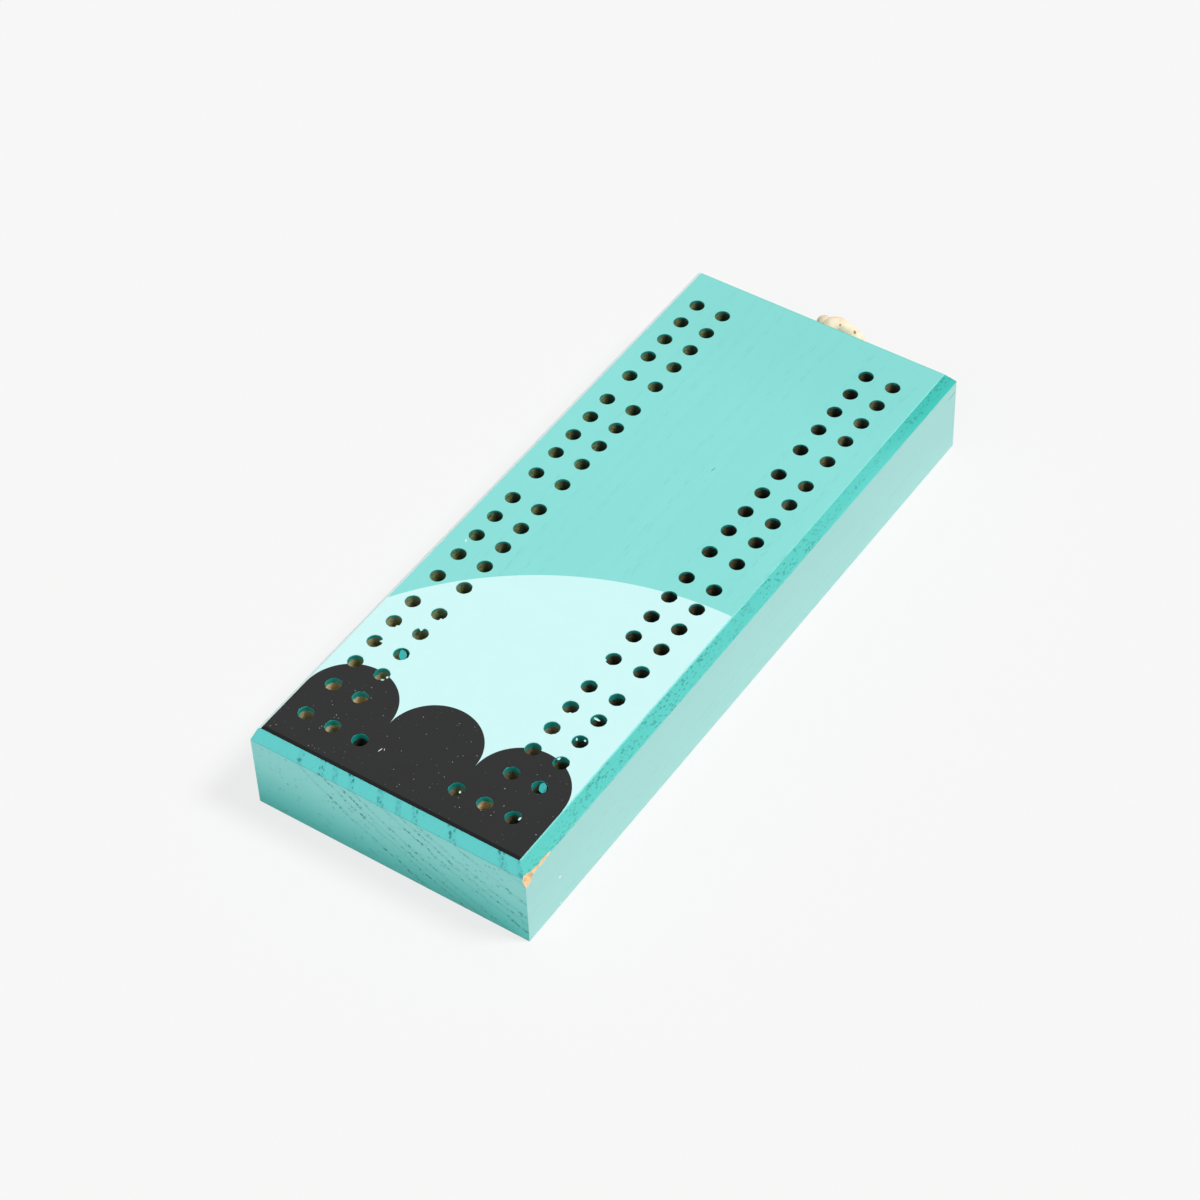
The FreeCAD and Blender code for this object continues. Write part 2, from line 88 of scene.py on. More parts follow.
# Painted reflection: the eased left edge is painted pale, as if it mirrored the white surroundings.
PALE_EDGE_REFLECTION_PAINT = (0.680, 0.850, 0.830)
PORE_PAINT = (0.004, 0.205, 0.185)
RAW_LIGHT = (0.700, 0.500, 0.310)
RAW_DARK = (0.520, 0.330, 0.180)


def start_modelling():
    """Leaves edit mode and lets go of everything that is selected."""
    if bpy.context.mode != "OBJECT":
        bpy.ops.object.mode_set(mode="OBJECT")
    bpy.ops.object.select_all(action="DESELECT")


def take(piece):
    """Makes a piece the only selected one, and the active one."""
    start_modelling()
    piece.select_set(True)
    bpy.context.view_layer.objects.active = piece


def edit(piece):
    """Goes into a piece's edit mode with all of it selected."""
    take(piece)
    bpy.ops.object.mode_set(mode="EDIT")
    bpy.ops.mesh.select_all(action="SELECT")


def settle(piece, name):
    """Names a piece and moves its place, turn and size into its mesh."""
    take(piece)
    bpy.ops.object.transform_apply(location=True, rotation=True, scale=True)
    piece.name = name
    piece.data.name = name
    return piece


def slab(name, low, high):
    """A rectangular blank between two corners."""
    low, high = Vector(low), Vector(high)
    start_modelling()
    bpy.ops.mesh.primitive_cube_add(size=1, location=(low + high) / 2, scale=high - low)
    return settle(bpy.context.object, name)


def turn(name, outline, sides=32, foot=(0, 0, 0)):
    """A turned piece: a ring extruded up through (height, radius) stations, closed at both ends."""
    foot = Vector(foot)
    height, radius = outline[0]
    start_modelling()
    bpy.ops.mesh.primitive_circle_add(vertices=sides, radius=radius, fill_type="NGON",
                                      location=foot + Vector((0, 0, height)))
    edit(bpy.context.object)
    for next_height, next_radius in outline[1:]:
        rise = {"value": (0, 0, next_height - height)}
        bpy.ops.mesh.extrude_region_move(TRANSFORM_OT_translate=rise)
        share = next_radius / radius
        bpy.ops.transform.resize(value=(share, share, 1), center_override=foot)
        height, radius = next_height, next_radius
    bpy.ops.mesh.select_all(action="SELECT")
    bpy.ops.mesh.normals_make_consistent(inside=False)
    return settle(bpy.context.object, name)


def plane_away(piece, point, normal):
    """Planes off all that lies beyond a plane and closes the new face."""
    edit(piece)
    bpy.ops.mesh.bisect(plane_co=point, plane_no=Vector(normal).normalized(), use_fill=True,
                        clear_outer=True, threshold=CUT_THRESHOLD)
    start_modelling()


def press(piece, kind, **settings):
    """Adds one modifier to a piece and applies it."""
    take(piece)
    modifier = piece.modifiers.new(kind.lower(), kind)
    for setting, value in settings.items():
        setattr(modifier, setting, value)
    bpy.ops.object.modifier_apply(modifier=modifier.name)


def soften(piece, width, segments=2):
    """Rounds a piece's edges over."""
    press(piece, "BEVEL", width=width, segments=segments, limit_method="ANGLE",
          angle_limit=SHARP_ANGLE, use_clamp_overlap=True)


def combine(piece, tool, operation="DIFFERENCE"):
    """Cuts a tool out of a piece, or works the two together, and uses the tool up."""
    press(piece, "BOOLEAN", object=tool, operation=operation, solver="EXACT", material_mode="TRANSFER")
    bpy.data.objects.remove(tool)
    if not piece.data.polygons:
        raise RuntimeError(f"nothing is left of {piece.name}")


def copy_of(piece, matrix):
    """A copy with its own mesh, moved in its mesh."""
    twin = piece.copy()
    twin.data = piece.data.copy()
    twin.data.transform(matrix)
    bpy.context.scene.collection.objects.link(twin)
    return twin


def spin(angle, axis):
    """A turn in degrees about one axis."""
    return Matrix.Rotation(math.radians(angle), 4, axis)


def lay_back(piece, place):
    """Tips a shape's foot to a place and its top toward the starting end."""
    piece.data.transform(Matrix.Translation(place) @ spin(-90, "X"))
    return piece


def add_object(name, data):
    """A new object of the scene."""
    piece = bpy.data.objects.new(name, data)
    bpy.context.scene.collection.objects.link(piece)
    return piece


def join(pieces, name):
    """Several loose shapes kept together as one piece."""
    start_modelling()
    for piece in pieces:
        piece.select_set(True)
    bpy.context.view_layer.objects.active = pieces[0]
    bpy.ops.object.join()
    pieces[0].name = name
    return pieces[0]


def repeat(piece, matrices, name):
    """Copies of a shape at several places, kept together as one piece; the shape is used up."""
    twins = [copy_of(piece, matrix) for matrix in matrices]
    bpy.data.objects.remove(piece)
    return join(twins, name)


def smooth(piece, angle=35):
    """Smooth shading that keeps the flats flat and the sharp corners sharp."""
    take(piece)
    bpy.ops.object.shade_smooth_by_angle(angle=math.radians(angle))
    press(piece, "WEIGHTED_NORMAL", mode="FACE_AREA", weight=80, keep_sharp=True)


def wear(piece, finish):
    """Gives a piece one finish all over."""
    piece.data.materials.clear()
    piece.data.materials.append(finish)
    return piece


# Finishes are built from a few small steps, all on coordinates in metres of the piece itself.
def new_finish(name):
    finish = bpy.data.materials.new(name)
    finish.use_nodes = True
    return finish


def step(finish, kind, inputs, **settings):
    """Adds one node, sets its options, and sets or links its inputs by name or number."""
    node = finish.node_tree.nodes.new("ShaderNode" + kind)
    for setting, value in settings.items():
        setattr(node, setting, value)
    feed(finish, node, inputs)
    return node


def feed(finish, node, inputs):
    for socket, value in inputs.items():
        if isinstance(value, bpy.types.NodeSocket):
            finish.node_tree.links.new(value, node.inputs[socket])
        else:
            node.inputs[socket].default_value = value


def dress(finish, **inputs):
    """Sets or links the inputs of the finish's own shader; words are joined by underscores."""
    shader = finish.node_tree.nodes["Principled BSDF"]
    feed(finish, shader, {socket.replace("_", " "): value for socket, value in inputs.items()})


def pattern_space(finish, unit, turned=(0, 0, 0), centre=(0, 0, 0)):
    """Object coordinates about a centre, turned in degrees, in units of one size, or of one per axis."""
    place = step(finish, "TexCoord", {}).outputs["Object"]
    if isinstance(unit, (int, float)):
        unit = (unit,) * 3
    mapping = {"Vector": place, "Location": centre, "Scale": unit,
               "Rotation": [math.radians(angle) for angle in turned]}
    return step(finish, "Mapping", mapping, vector_type="TEXTURE").outputs[0]


def place_in(finish):
    """Object coordinates in metres, one by one."""
    return step(finish, "SeparateXYZ", {0: pattern_space(finish, 1)}).outputs


def cloud(finish, unit, detail=3.0, turned=(0, 0, 0), distortion=0.0):
    """Soft noise of a unit size."""
    settings = {"Vector": pattern_space(finish, unit, turned), "Scale": 1.0, "Detail": detail,
                "Distortion": distortion}
    return step(finish, "TexNoise", settings).outputs[0]


def cells(finish, unit, turned=(0, 0, 0)):
    """Distance to the middle of the nearest scattered cell, and random values that the cell keeps."""
    nearest = step(finish, "TexVoronoi", {"Vector": pattern_space(finish, unit, turned), "Scale": 1.0})
    kept = step(finish, "SeparateColor", {"Color": nearest.outputs["Color"]})
    return nearest.outputs["Distance"], kept.outputs


def sums(finish, operation, first, second=0.0, third=0.0):
    inputs = {0: first, 1: second}
    if operation == "MULTIPLY_ADD":
        inputs[2] = third
    return step(finish, "Math", inputs, operation=operation).outputs[0]


def times(finish, first, second):
    return sums(finish, "MULTIPLY", first, second)


def stray(finish, value, drift, reach):
    """A value pushed about by noise, over a reach."""
    return sums(finish, "MULTIPLY_ADD", sums(finish, "SUBTRACT", drift, 0.5), reach, value)


def fade(finish, value, start, end, low=0.0, high=1.0):
    """Turns a stretch of values into another one, smoothly and clamped at its ends."""
    stretch = {"Value": value, "From Min": start, "From Max": end, "To Min": low, "To Max": high}
    return step(finish, "MapRange", stretch, interpolation_type="SMOOTHSTEP").outputs[0]


def spots(finish, distance, reach, inner, outer):
    """Mask of the spots about the cells' middles, with an edge that blurs between two distances."""
    return fade(finish, sums(finish, "SUBTRACT", distance, reach), inner, outer, 1.0, 0.0)


def dimmed(colour, share):
    return tuple(part * share for part in colour)


def tint(finish, share, first, second, kind="MIX"):
    """Mixes two colours by a share; a colour is three numbers or another step's output."""
    first, second = [(*c, 1.0) if isinstance(c, tuple) else c for c in (first, second)]
    return step(finish, "Mix", {0: share, 6: first, 7: second}, data_type="RGBA",
                blend_type=kind).outputs[2]


def relief(finish, height, depth, under=None):
    """A bump of a depth in metres, over another bump if one is given."""
    inputs = {"Height": height, "Strength": 1.0, "Distance": depth}
    if under is not None:
        inputs["Normal"] = under
    return step(finish, "Bump", inputs).outputs[0]


# The growth rings are arcs about a pith far above the right side, so the rows of open pores cross
# the end at a slant and run along the sides as streaks.
PITH = Vector((-87, 0, 164)) * MM
RING_ROWS = (156.2, 157.8, 162.7, 166.5, 168.4, 170.5, 174.2, 176.2, 177.9, 181.3)
RING_SLOPE = 25


def nearest_row(finish):
    """Distance to the nearest row of early pores."""
    place = place_in(finish)
    section = step(finish, "CombineXYZ", {"X": place["X"], "Z": place["Z"]}).outputs[0]
    from_pith = {0: section, 1: PITH}
    radius = step(finish, "VectorMath", from_pith, operation="DISTANCE").outputs["Value"]
    drift = cloud(finish, (6 * MM, 40 * MM, 6 * MM), 2.0)
    radius = stray(finish, radius, drift, 1.6 * MM)
    nearest = 1.0
    for row in RING_ROWS:
        gap = sums(finish, "ABSOLUTE", sums(finish, "SUBTRACT", radius, row * MM))
        nearest = sums(finish, "MINIMUM", gap, nearest)
    return nearest


def pores(finish, length, width, scattered, crowding):
    """Mask of the open pores of the wood: dots in rows on end grain, dashes along the long faces."""
    row = fade(finish, nearest_row(finish), 0.20 * MM, 0.50 * MM, 1.0, 0.0)
    distance, kept = cells(finish, (width, length, 0.55 * width), (0, -RING_SLOPE, 0))
    reach = fade(finish, kept[0], 0.05, 0.9, 0.05 + crowding, 0.45 + crowding)
    dot = spots(finish, distance, reach, -0.07, 0.09)
    patches = cloud(finish, (4 * MM, 30 * MM, 4 * MM), 2.0)
    dot = times(finish, dot, fade(finish, patches, 0.35, 0.60, 0.30, 1.0))
    scatter = fade(finish, kept[1], 1 - scattered, 1.1 - scattered, 0.0, 0.50)
    return times(finish, dot, sums(finish, "MAXIMUM", row, scatter)), row


def mark(finish, centre, size, turned=(0, 0, 0), ragged=0.35):
    """Mask of one small mark on the surface: a chip, a scratch or a crack."""
    space = pattern_space(finish, [side * MM for side in size], turned, centre)
    reach = step(finish, "VectorMath", {0: space}, operation="LENGTH").outputs["Value"]
    rough = cloud(finish, 0.4 * MM)
    return fade(finish, stray(finish, reach, rough, ragged), 0.75, 1.0, 1.0, 0.0)


def marked(finish, colour, marks):
    """Lays small marks over a colour: the place, half sizes, turn and colour of each."""
    for centre, size, turned, mark_colour in marks:
        colour = tint(finish, mark(finish, centre, size, turned), colour, mark_colour)
    return colour


def paint(name, colour, pore_share, length=2.8 * MM, width=0.66 * MM, shaded_low_colour=None, far_colour=None,
          gloss=0.48, scattered=0.2, crowding=0.0, marks=()):
    """Thin matt paint on open-pored wood; it sinks into the pores and dries darker there."""
    finish = new_finish(name)
    open_pores, row = pores(finish, length, width, scattered, crowding)
    drift = cloud(finish, (7 * MM, 22 * MM, 7 * MM), 4.0)
    streak = cloud(finish, (0.4 * MM, 9 * MM, 0.4 * MM), 4.0)
    coat = colour
    place = place_in(finish)
    # Painted shade: the colour darkens towards the bottom of the face.
    if shaded_low_colour:
        share = fade(finish, place["Z"], -0.02 * TOP, 0.82 * TOP)
        coat = tint(finish, share, shaded_low_colour, colour)
    if far_colour:
        share = fade(finish, place["Y"], 0.90 * FAR_END, 0.55 * FAR_END)
        coat = tint(finish, share, far_colour, colour)
    shade = fade(finish, drift, 0.35, 0.65, 0.0, 0.05)
    coat = tint(finish, shade, coat, dimmed(colour, 0.80))
    shade = times(finish, fade(finish, streak, 0.50, 0.75), 0.10 * pore_share + 0.02)
    coat = tint(finish, shade, coat, dimmed(colour, 0.55))
    shade = times(finish, row, 0.10 * pore_share)
    coat = tint(finish, shade, coat, PORE_PAINT)
    shade = times(finish, open_pores, pore_share)
    coat = tint(finish, shade, coat, PORE_PAINT)
    coat = marked(finish, coat, marks)
    skin = cloud(finish, 0.30 * MM, 2.0)
    bump = relief(finish, skin, 0.010 * MM)
    bump = relief(finish, open_pores, -0.07 * MM * pore_share, bump)
    dress(finish, Base_Color=coat, Normal=bump, Roughness=gloss)
    return finish


def raw_wood(name, along="Y", light=RAW_LIGHT, dark=RAW_DARK, figure=1.0, gloss=0.62):
    """Sanded wood with its grain along an axis: soft rings, fine fibres and short dark pores."""
    finish = new_finish(name)
    turned = (0, 0, 90) if along == "X" else (90, 0, 0) if along == "Z" else (0, 0, 0)
    rings = cloud(finish, (2.6 * MM, 55 * MM, 2.6 * MM), turned=turned, distortion=0.6)
    fibres = cloud(finish, (0.22 * MM, 9 * MM, 0.22 * MM), 4.0, turned)
    distance, kept = cells(finish, (0.55 * MM, 5 * MM, 0.55 * MM), turned)
    reach = fade(finish, kept[0], 0.45, 1.0, 0.0, 0.34)
    pore = spots(finish, distance, reach, -0.02, 0.08)
    body = tint(finish, fade(finish, rings, 0.38, 0.66, 0.0, 0.85 * figure), light, dark)
    body = tint(finish, fade(finish, fibres, 0.40, 0.70, 0.0, 0.45), body, dimmed(dark, 0.72))
    body = tint(finish, times(finish, pore, 0.62), body, dimmed(dark, 0.32))
    bump = relief(finish, fibres, 0.03 * MM)
    bump = relief(finish, pore, -0.06 * MM, bump)
    rough = fade(finish, rings, 0.3, 0.7, gloss - 0.06, gloss + 0.08)
    dress(finish, Base_Color=body, Normal=bump, Roughness=rough)
    return finish


BURNT_COLUMN = -18.6 * MM
BLACK_WALLED_HOLE = Vector((13.45 * MM, 67.85 * MM, TOP))
# The way the walls that get painted shade face: away from the lamp.
SHADED_WALL_FACING = Vector((0.83, 0.56, 0))


def drilled_wood(name):
    """The wall of a peg hole: paint has run in over the rim, deeper near the starting end. The wood below
    is burnt dark, with a breath of paint on it in the left lane, and is cleanest near the starting end,
    except in the column by the bevel; one hole of the end row is near black inside. Shade is painted on
    too: the wood darkens with depth, and on the walls facing away from the lamp, less so near the starting
    end."""
    finish = new_finish(name)
    place = place_in(finish)
    edge = cloud(finish, 1.3 * MM)
    depth = sums(finish, "SUBTRACT", TOP, place["Z"])
    slant = sums(finish, "MULTIPLY_ADD", place["X"], -0.5, place["Y"])
    run = fade(finish, slant, 0.28 * NEAR_END, 0.62 * NEAR_END, 0.38 * MM, 1.30 * MM)
    depth = sums(finish, "SUBTRACT", depth, run)
    depth = stray(finish, depth, edge, 1.6 * MM)
    painted = fade(finish, depth, -0.12 * MM, 0.18 * MM, 1.0, 0.0)
    # Painted shade: the wood darkens with depth in the hole.
    deep = fade(finish, depth, 2.0 * MM, 5.5 * MM)
    clean = fade(finish, place["Y"], 0.30 * NEAR_END, 0.80 * NEAR_END)
    column = fade(finish, place["X"], BURNT_COLUMN - MM, BURNT_COLUMN + MM, 0.1, 1.0)
    blotch = cloud(finish, 9 * MM, 1.0)
    clean = times(finish, clean, column)
    clean = times(finish, clean, fade(finish, blotch, 0.38, 0.58, 0.15, 1.0))
    grain = cloud(finish, (0.3 * MM, 2.4 * MM, 0.3 * MM), 4.0)
    grain_share = fade(finish, grain, 0.35, 0.68)
    across = fade(finish, place["X"], -12 * MM, 12 * MM)
    outer = fade(finish, place["X"], BURNT_COLUMN - MM, BURNT_COLUMN + MM, 1.0, 0.0)
    far = fade(finish, place["Y"], 0.42 * FAR_END, 0.15 * FAR_END, 1.0, 0.0)
    outer = times(finish, outer, far)
    burnt_pale = tint(finish, across, (0.190, 0.170, 0.085), (0.360, 0.440, 0.200))
    burnt_pale = tint(finish, outer, burnt_pale, (0.400, 0.350, 0.180))
    burnt_dark = tint(finish, across, (0.056, 0.047, 0.025), (0.112, 0.130, 0.062))
    burnt_dark = tint(finish, outer, burnt_dark, (0.120, 0.100, 0.054))
    burnt = tint(finish, grain_share, burnt_pale, burnt_dark)
    fresh = tint(finish, grain_share, (0.960, 0.760, 0.460), (0.720, 0.500, 0.260))
    wood = tint(finish, clean, burnt, fresh)
    wood = tint(finish, deep, wood, (0.050, 0.030, 0.016))
    # Painted shade: the walls facing away from the lamp are darkened, less so near the starting end.
    facing = step(finish, "TexCoord", {}).outputs["Normal"]
    side = step(finish, "VectorMath", {0: facing, 1: SHADED_WALL_FACING}, operation="DOT_PRODUCT")
    wall_shade = fade(finish, side.outputs["Value"], -0.50, 0.30)
    shade_strength = fade(finish, place["Y"], 0, 0.60 * NEAR_END, 1.0, 0.40)
    wall_shade = times(finish, wall_shade, shade_strength)
    wood = tint(finish, wall_shade, wood, (0.08, 0.15, 0.22), "MULTIPLY")
    # One hole of the end row is made near black inside, below the paint run.
    blackened = mark(finish, BLACK_WALLED_HOLE, (2.6, 2.6, 20), ragged=0.0)
    wood = tint(finish, times(finish, blackened, 0.94), wood, (0.010, 0.010, 0.008))
    colour = tint(finish, painted, wood, (0.008, 0.360, 0.310))
    bump = relief(finish, grain, 0.05 * MM)
    dress(finish, Base_Color=colour, Normal=bump, Roughness=0.6)
    return finish


TOP_MARKS = (
    ((27.2 * MM, 14.2 * MM, TOP), (0.16, 0.42, 1), (0, 0, 20), (0.86, 0.95, 0.94)),
    ((-3.5 * MM, -29.0 * MM, TOP), (0.12, 0.70, 1), (0, 0, -8), (0.05, 0.36, 0.33)),
)
SIDE_MARKS = (
    ((RIGHT_SIDE, NEAR_END - 10.5 * MM, 8.2 * MM), (1, 0.42, 0.26), (20, 0, 0), (0.92, 0.96, 0.96)),
    ((RIGHT_SIDE, NEAR_END - 10.3 * MM, 0.7 * MM), (1, 0.30, 0.18), (-15, 0, 0), (0.92, 0.96, 0.96)),
    ((RIGHT_SIDE, FAR_END + 1.7 * MM, 15.7 * MM), (1, 1.9, 0.16), (-6, 0, 0), (0.10, 0.42, 0.38)),
)
paint_on_top = paint("teal_paint_on_top", PAINT, 0.09, far_colour=PAINT_FAR, marks=TOP_MARKS)
# Painted shade on the end grain, darker towards the bottom.
paint_on_end = paint("teal_paint_on_end_grain", END_PAINT_HIGH, 0.90, 9 * MM, 0.84 * MM,
                     shaded_low_colour=END_PAINT_SHADED_LOW, scattered=0.20, crowding=0.03)
paint_on_side = paint("teal_paint_on_side", SIDE_PAINT_WITH_SHEEN, 0.08, marks=SIDE_MARKS)
paint_on_bevel = paint("teal_paint_on_bevel", BEVEL_PAINT, 0.60, 0.9 * MM, 0.34 * MM,
                       far_colour=BEVEL_PAINT_FAR, gloss=0.42, scattered=0.16)
paint_on_near_bevel = paint("teal_paint_on_near_bevel", NEAR_BEVEL_PAINT, 0.95, 0.8 * MM, gloss=0.42,
                            scattered=0.06, crowding=0.12)
paint_on_edge = paint("teal_paint_on_edge", EDGE_PAINT, 0.12, gloss=0.45)
paint_with_edge_reflection = paint("teal_paint_with_edge_reflection", PALE_EDGE_REFLECTION_PAINT, 0.10, gloss=0.45)
bare_block = raw_wood("bare_underside")
bare_channel = raw_wood("bare_channel", gloss=0.7)
chipped = raw_wood("chipped_corner", light=(0.90, 0.60, 0.33), dark=(0.78, 0.48, 0.24), figure=0.5)
hole_wall = drilled_wood("peg_hole_wall")

# The peg holes stand where the record's mounts say; a pattern is four holes, or two in the end row.
peg_mounts = [mount for mount in frame["record"]["mounts"] if mount["kind"] == "bolt_pattern"]
bore = next(mount for mount in frame["record"]["mounts"] if mount["kind"] == "bore")["dims"]
HOLE_RADIUS = bore["r_mm"] * MM
HOLE_DEPTH = bore["length_mm"] * MM
HOLE_FLARE = 0.05 * MM
peg_holes = []
for mount in peg_mounts:
    across = mount["dims"]["spacing_x_mm"] * MM / 2
    along = mount["dims"].get("spacing_y_mm", 0) * MM / 2
    for x in (mount["pos_m"][0] - across, mount["pos_m"][0] + across):
        for y in sorted({mount["pos_m"][1] - along, mount["pos_m"][1] + along}):
            peg_holes.append(Vector((x, y, 0)))

block = slab("block", block_low, block_high)
plane_away(block, (LEFT_SIDE, 0, TOP - EASED_EDGE.z), (EASED_EDGE.z, 0, EASED_EDGE.x))
plane_away(block, (RIGHT_SIDE, 0, TOP - SIDE_BEVEL.z), (-SIDE_BEVEL.z, 0, SIDE_BEVEL.x))
plane_away(block, (0, NEAR_END, TOP - END_BEVEL.z), (0, END_BEVEL.z, END_BEVEL.y))
# The side bevel is a little shallower at the far end.
for vertex in block.data.vertices:
    outer = vertex.co.x < RIGHT_SIDE + MM and vertex.co.z > TOP - 1.5 * SIDE_BEVEL.z
    if outer and vertex.co.y < 0:
        vertex.co.z += BEVEL_RUN_OUT
block_finishes = (paint_on_top, paint_on_end, paint_on_side, paint_on_bevel, paint_on_near_bevel,
                  paint_on_edge, paint_with_edge_reflection, bare_block)
for finish in block_finishes:
    block.data.materials.append(finish)
press(block, "BEVEL", width=ARRIS_WIDTH, segments=2, limit_method="ANGLE", angle_limit=SHARP_ANGLE,
      material=block_finishes.index(paint_on_edge))

# The starting end's right corner has been knocked: a flake off the arris, and a sliver beside it.
KNOCKS = (
    ((RIGHT_SIDE - 0.20 * MM, NEAR_END - 0.7 * MM, TOP - 1.25 * MM), (0.90, 1.8, 1.85), 30),
    ((RIGHT_SIDE - 0.16 * MM, NEAR_END - 2.9 * MM, TOP - 1.00 * MM), (0.55, 1.5, 0.52), 8),
    ((RIGHT_SIDE - 0.20 * MM, NEAR_END - 6.0 * MM, TOP - 1.00 * MM), (0.52, 2.6, 0.42), -4),
)
KNOCK_SEED = 5
KNOCK_ROUGHNESS = 0.42
KNOCK_GRAIN = 0.7 * MM
noise.seed_set(KNOCK_SEED)
for place, size, lean in KNOCKS:
    start_modelling()
    bpy.ops.mesh.primitive_ico_sphere_add(subdivisions=3, radius=MM, location=place, scale=size,
                                          rotation=(math.radians(lean), 0, 0))
    knock = settle(bpy.context.object, "knock")
    for vertex in knock.data.vertices:
        vertex.co += KNOCK_ROUGHNESS * min(size) * MM * noise.noise_vector(vertex.co / KNOCK_GRAIN)
    combine(block, wear(knock, chipped))

channel_low = (front_low.x - CHANNEL_GAP, FAR_END - PAST, panel_high.z - PAST)
channel_high = (front_high.x + CHANNEL_GAP, catch_low.y, front_high.z + CHANNEL_ROOF)
rebate_low = (panel_low.x - PANEL_FIT, FAR_END - PAST, -PAST)
rebate_high = (panel_high.x + PANEL_FIT, panel_high.y + PANEL_FIT, panel_high.z)
for name, low, high in (("rebate", rebate_low, rebate_high), ("channel", channel_low, channel_high)):
    combine(block, wear(slab(name, low, high), bare_channel))

SCREW_RADIUS = 1.0 * MM
SCREW_HEAD = 2.0 * MM
screw_low, screw_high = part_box("panel_screws")
screw_places = []
for x in (screw_low.x + SCREW_HEAD, screw_high.x - SCREW_HEAD):
    for share in (0, 0.5, 1):
        run = screw_high.y - screw_low.y - 2 * SCREW_HEAD
        screw_places.append(Vector((x, screw_low.y + SCREW_HEAD + share * run, 0)))
pilot = turn("pilot", [(panel_high.z - PAST, SCREW_RADIUS), (screw_high.z, SCREW_RADIUS)], 16)
pilots = repeat(pilot, [Matrix.Translation(place) for place in screw_places], "pilots")
combine(block, wear(pilots, bare_channel))

catch_middle = (catch_low + catch_high) / 2
MAGNET_RADIUS = (catch_high.x - catch_low.x) / 2
magnet_bit = turn("magnet_bit", [(-PAST, MAGNET_RADIUS), (catch_high.y - catch_low.y, MAGNET_RADIUS)], 40)
lay_back(magnet_bit, (catch_middle.x, catch_low.y, catch_middle.z))
combine(block, wear(magnet_bit, bare_channel))

bit_outline = [(TOP - HOLE_DEPTH, HOLE_RADIUS), (TOP - HOLE_FLARE, HOLE_RADIUS),
               (TOP, HOLE_RADIUS + HOLE_FLARE), (TOP + HOLE_FLARE, HOLE_RADIUS + 2 * HOLE_FLARE)]
bits = repeat(turn("bit", bit_outline), [Matrix.Translation(place) for place in peg_holes], "bits")
combine(block, wear(bits, hole_wall))

# Which paint a face gets is told from the way it faces, so each side's own light and shade is painted into
# its colour.
painted_by_side = (
    (lambda normal: normal.z < -0.5, bare_block),
    (lambda normal: normal.z > 0.3 and normal.y > 0.03, paint_on_near_bevel),
    (lambda normal: normal.z > 0.99, paint_on_top),
    # Painted reflection on the eased left edge.
    (lambda normal: normal.z > 0.3 and normal.x > 0.05, paint_with_edge_reflection),
    (lambda normal: normal.z > 0.3, paint_on_bevel),
    (lambda normal: abs(normal.x) > 0.7, paint_on_side),
    (lambda normal: True, paint_on_end),
)
finish_number = {slot.name: number for number, slot in enumerate(block.data.materials)}
for face in block.data.polygons:
    finish = block.data.materials[face.material_index]
    inner_arris = face.center.x < RIGHT_SIDE + SIDE_BEVEL.x + MM and face.center.z > TOP - 0.12 * MM
    top_arris = finish == paint_on_edge and inner_arris and face.normal.y < 0.03
    if finish in (paint_on_top, paint_on_edge) and not top_arris:
        chosen = next(coat for faces, coat in painted_by_side if faces(face.normal))
        face.material_index = finish_number[chosen.name]
smooth(block)
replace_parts(block, "board_block")
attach(block, "board")

# ------------------- the colour films
# Two thin smooth films on the top: a pale quarter disc and, at the starting end, a black band with
# three half-round scallops. They were laid before drilling, so the bit has torn tabs at the holes.
pale_low, pale_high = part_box("film_pale")
black_low, black_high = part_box("film_black")
BAND_DEPTH = 14.0 * MM
SCALLOPS = 3
FILM_LIFT = 0.01 * MM
EDGE_ROLL = 0.75 * MM
COVER_STRETCH = 9
RIM_SLACK = 1.02
RIM_ROUGHNESS = 0.05
RIM_GRAIN = 0.55 * MM


def film_finish(name, colour, speck, speck_share, gloss, bump_depth, marks=()):
    """A smooth print film with fine dust and scuffs."""
    finish = new_finish(name)
    distance, kept = cells(finish, 0.75 * MM)
    reach = fade(finish, kept[0], 0.40, 1.0, 0.0, 0.17)
    dust = spots(finish, distance, reach, -0.04, 0.02)
    drift = cloud(finish, 6 * MM, 5.0)
    patches = cloud(finish, 9 * MM, 2.0)
    shade = fade(finish, drift, 0.35, 0.65, 0.0, 0.06)
    body = tint(finish, shade, colour, dimmed(colour, 0.82))
    strength = fade(finish, kept[1], 0.2, 1.0, 0.1 * speck_share, speck_share)
    strength = times(finish, strength, fade(finish, patches, 0.35, 0.65, 0.35, 1.0))
    body = tint(finish, times(finish, dust, strength), body, speck)
    body = marked(finish, body, marks)
    skin = cloud(finish, 0.5 * MM)
    bump = relief(finish, skin, bump_depth)
    bump = relief(finish, dust, 0.03 * MM, bump)
    rough = fade(finish, drift, 0.3, 0.7, gloss - 0.04, gloss + 0.06)
    dress(finish, Base_Color=body, Normal=bump, Roughness=rough)
    return finish


FILM_MARKS = (
    ((8.7 * MM, 67.8 * MM, TOP), (0.09, 0.66, 1), (0, 0, -12), (0.92, 0.95, 0.95)),
    ((8.1 * MM, 67.3 * MM, TOP), (0.07, 0.30, 1), (0, 0, 30), (0.70, 0.74, 0.74)),
)
PALE = (0.640, 0.962, 0.955)
pale_film_finish = film_finish("pale_film", PALE, (0.42, 0.78, 0.76), 0.30, 0.44, 0.005 * MM)
black_film_finish = film_finish("black_film", (0.0060, 0.0063, 0.0070), (0.62, 0.64, 0.65), 0.95, 0.36,
                                0.010 * MM, FILM_MARKS)
dress(black_film_finish, Specular_IOR_Level=0.34)
black_edge_finish = film_finish("black_film_edge", (0.004, 0.004, 0.005), (0.10, 0.11, 0.12), 0.3, 0.25,
                                0.004 * MM)
dress(black_edge_finish, Specular_IOR_Level=0.18)

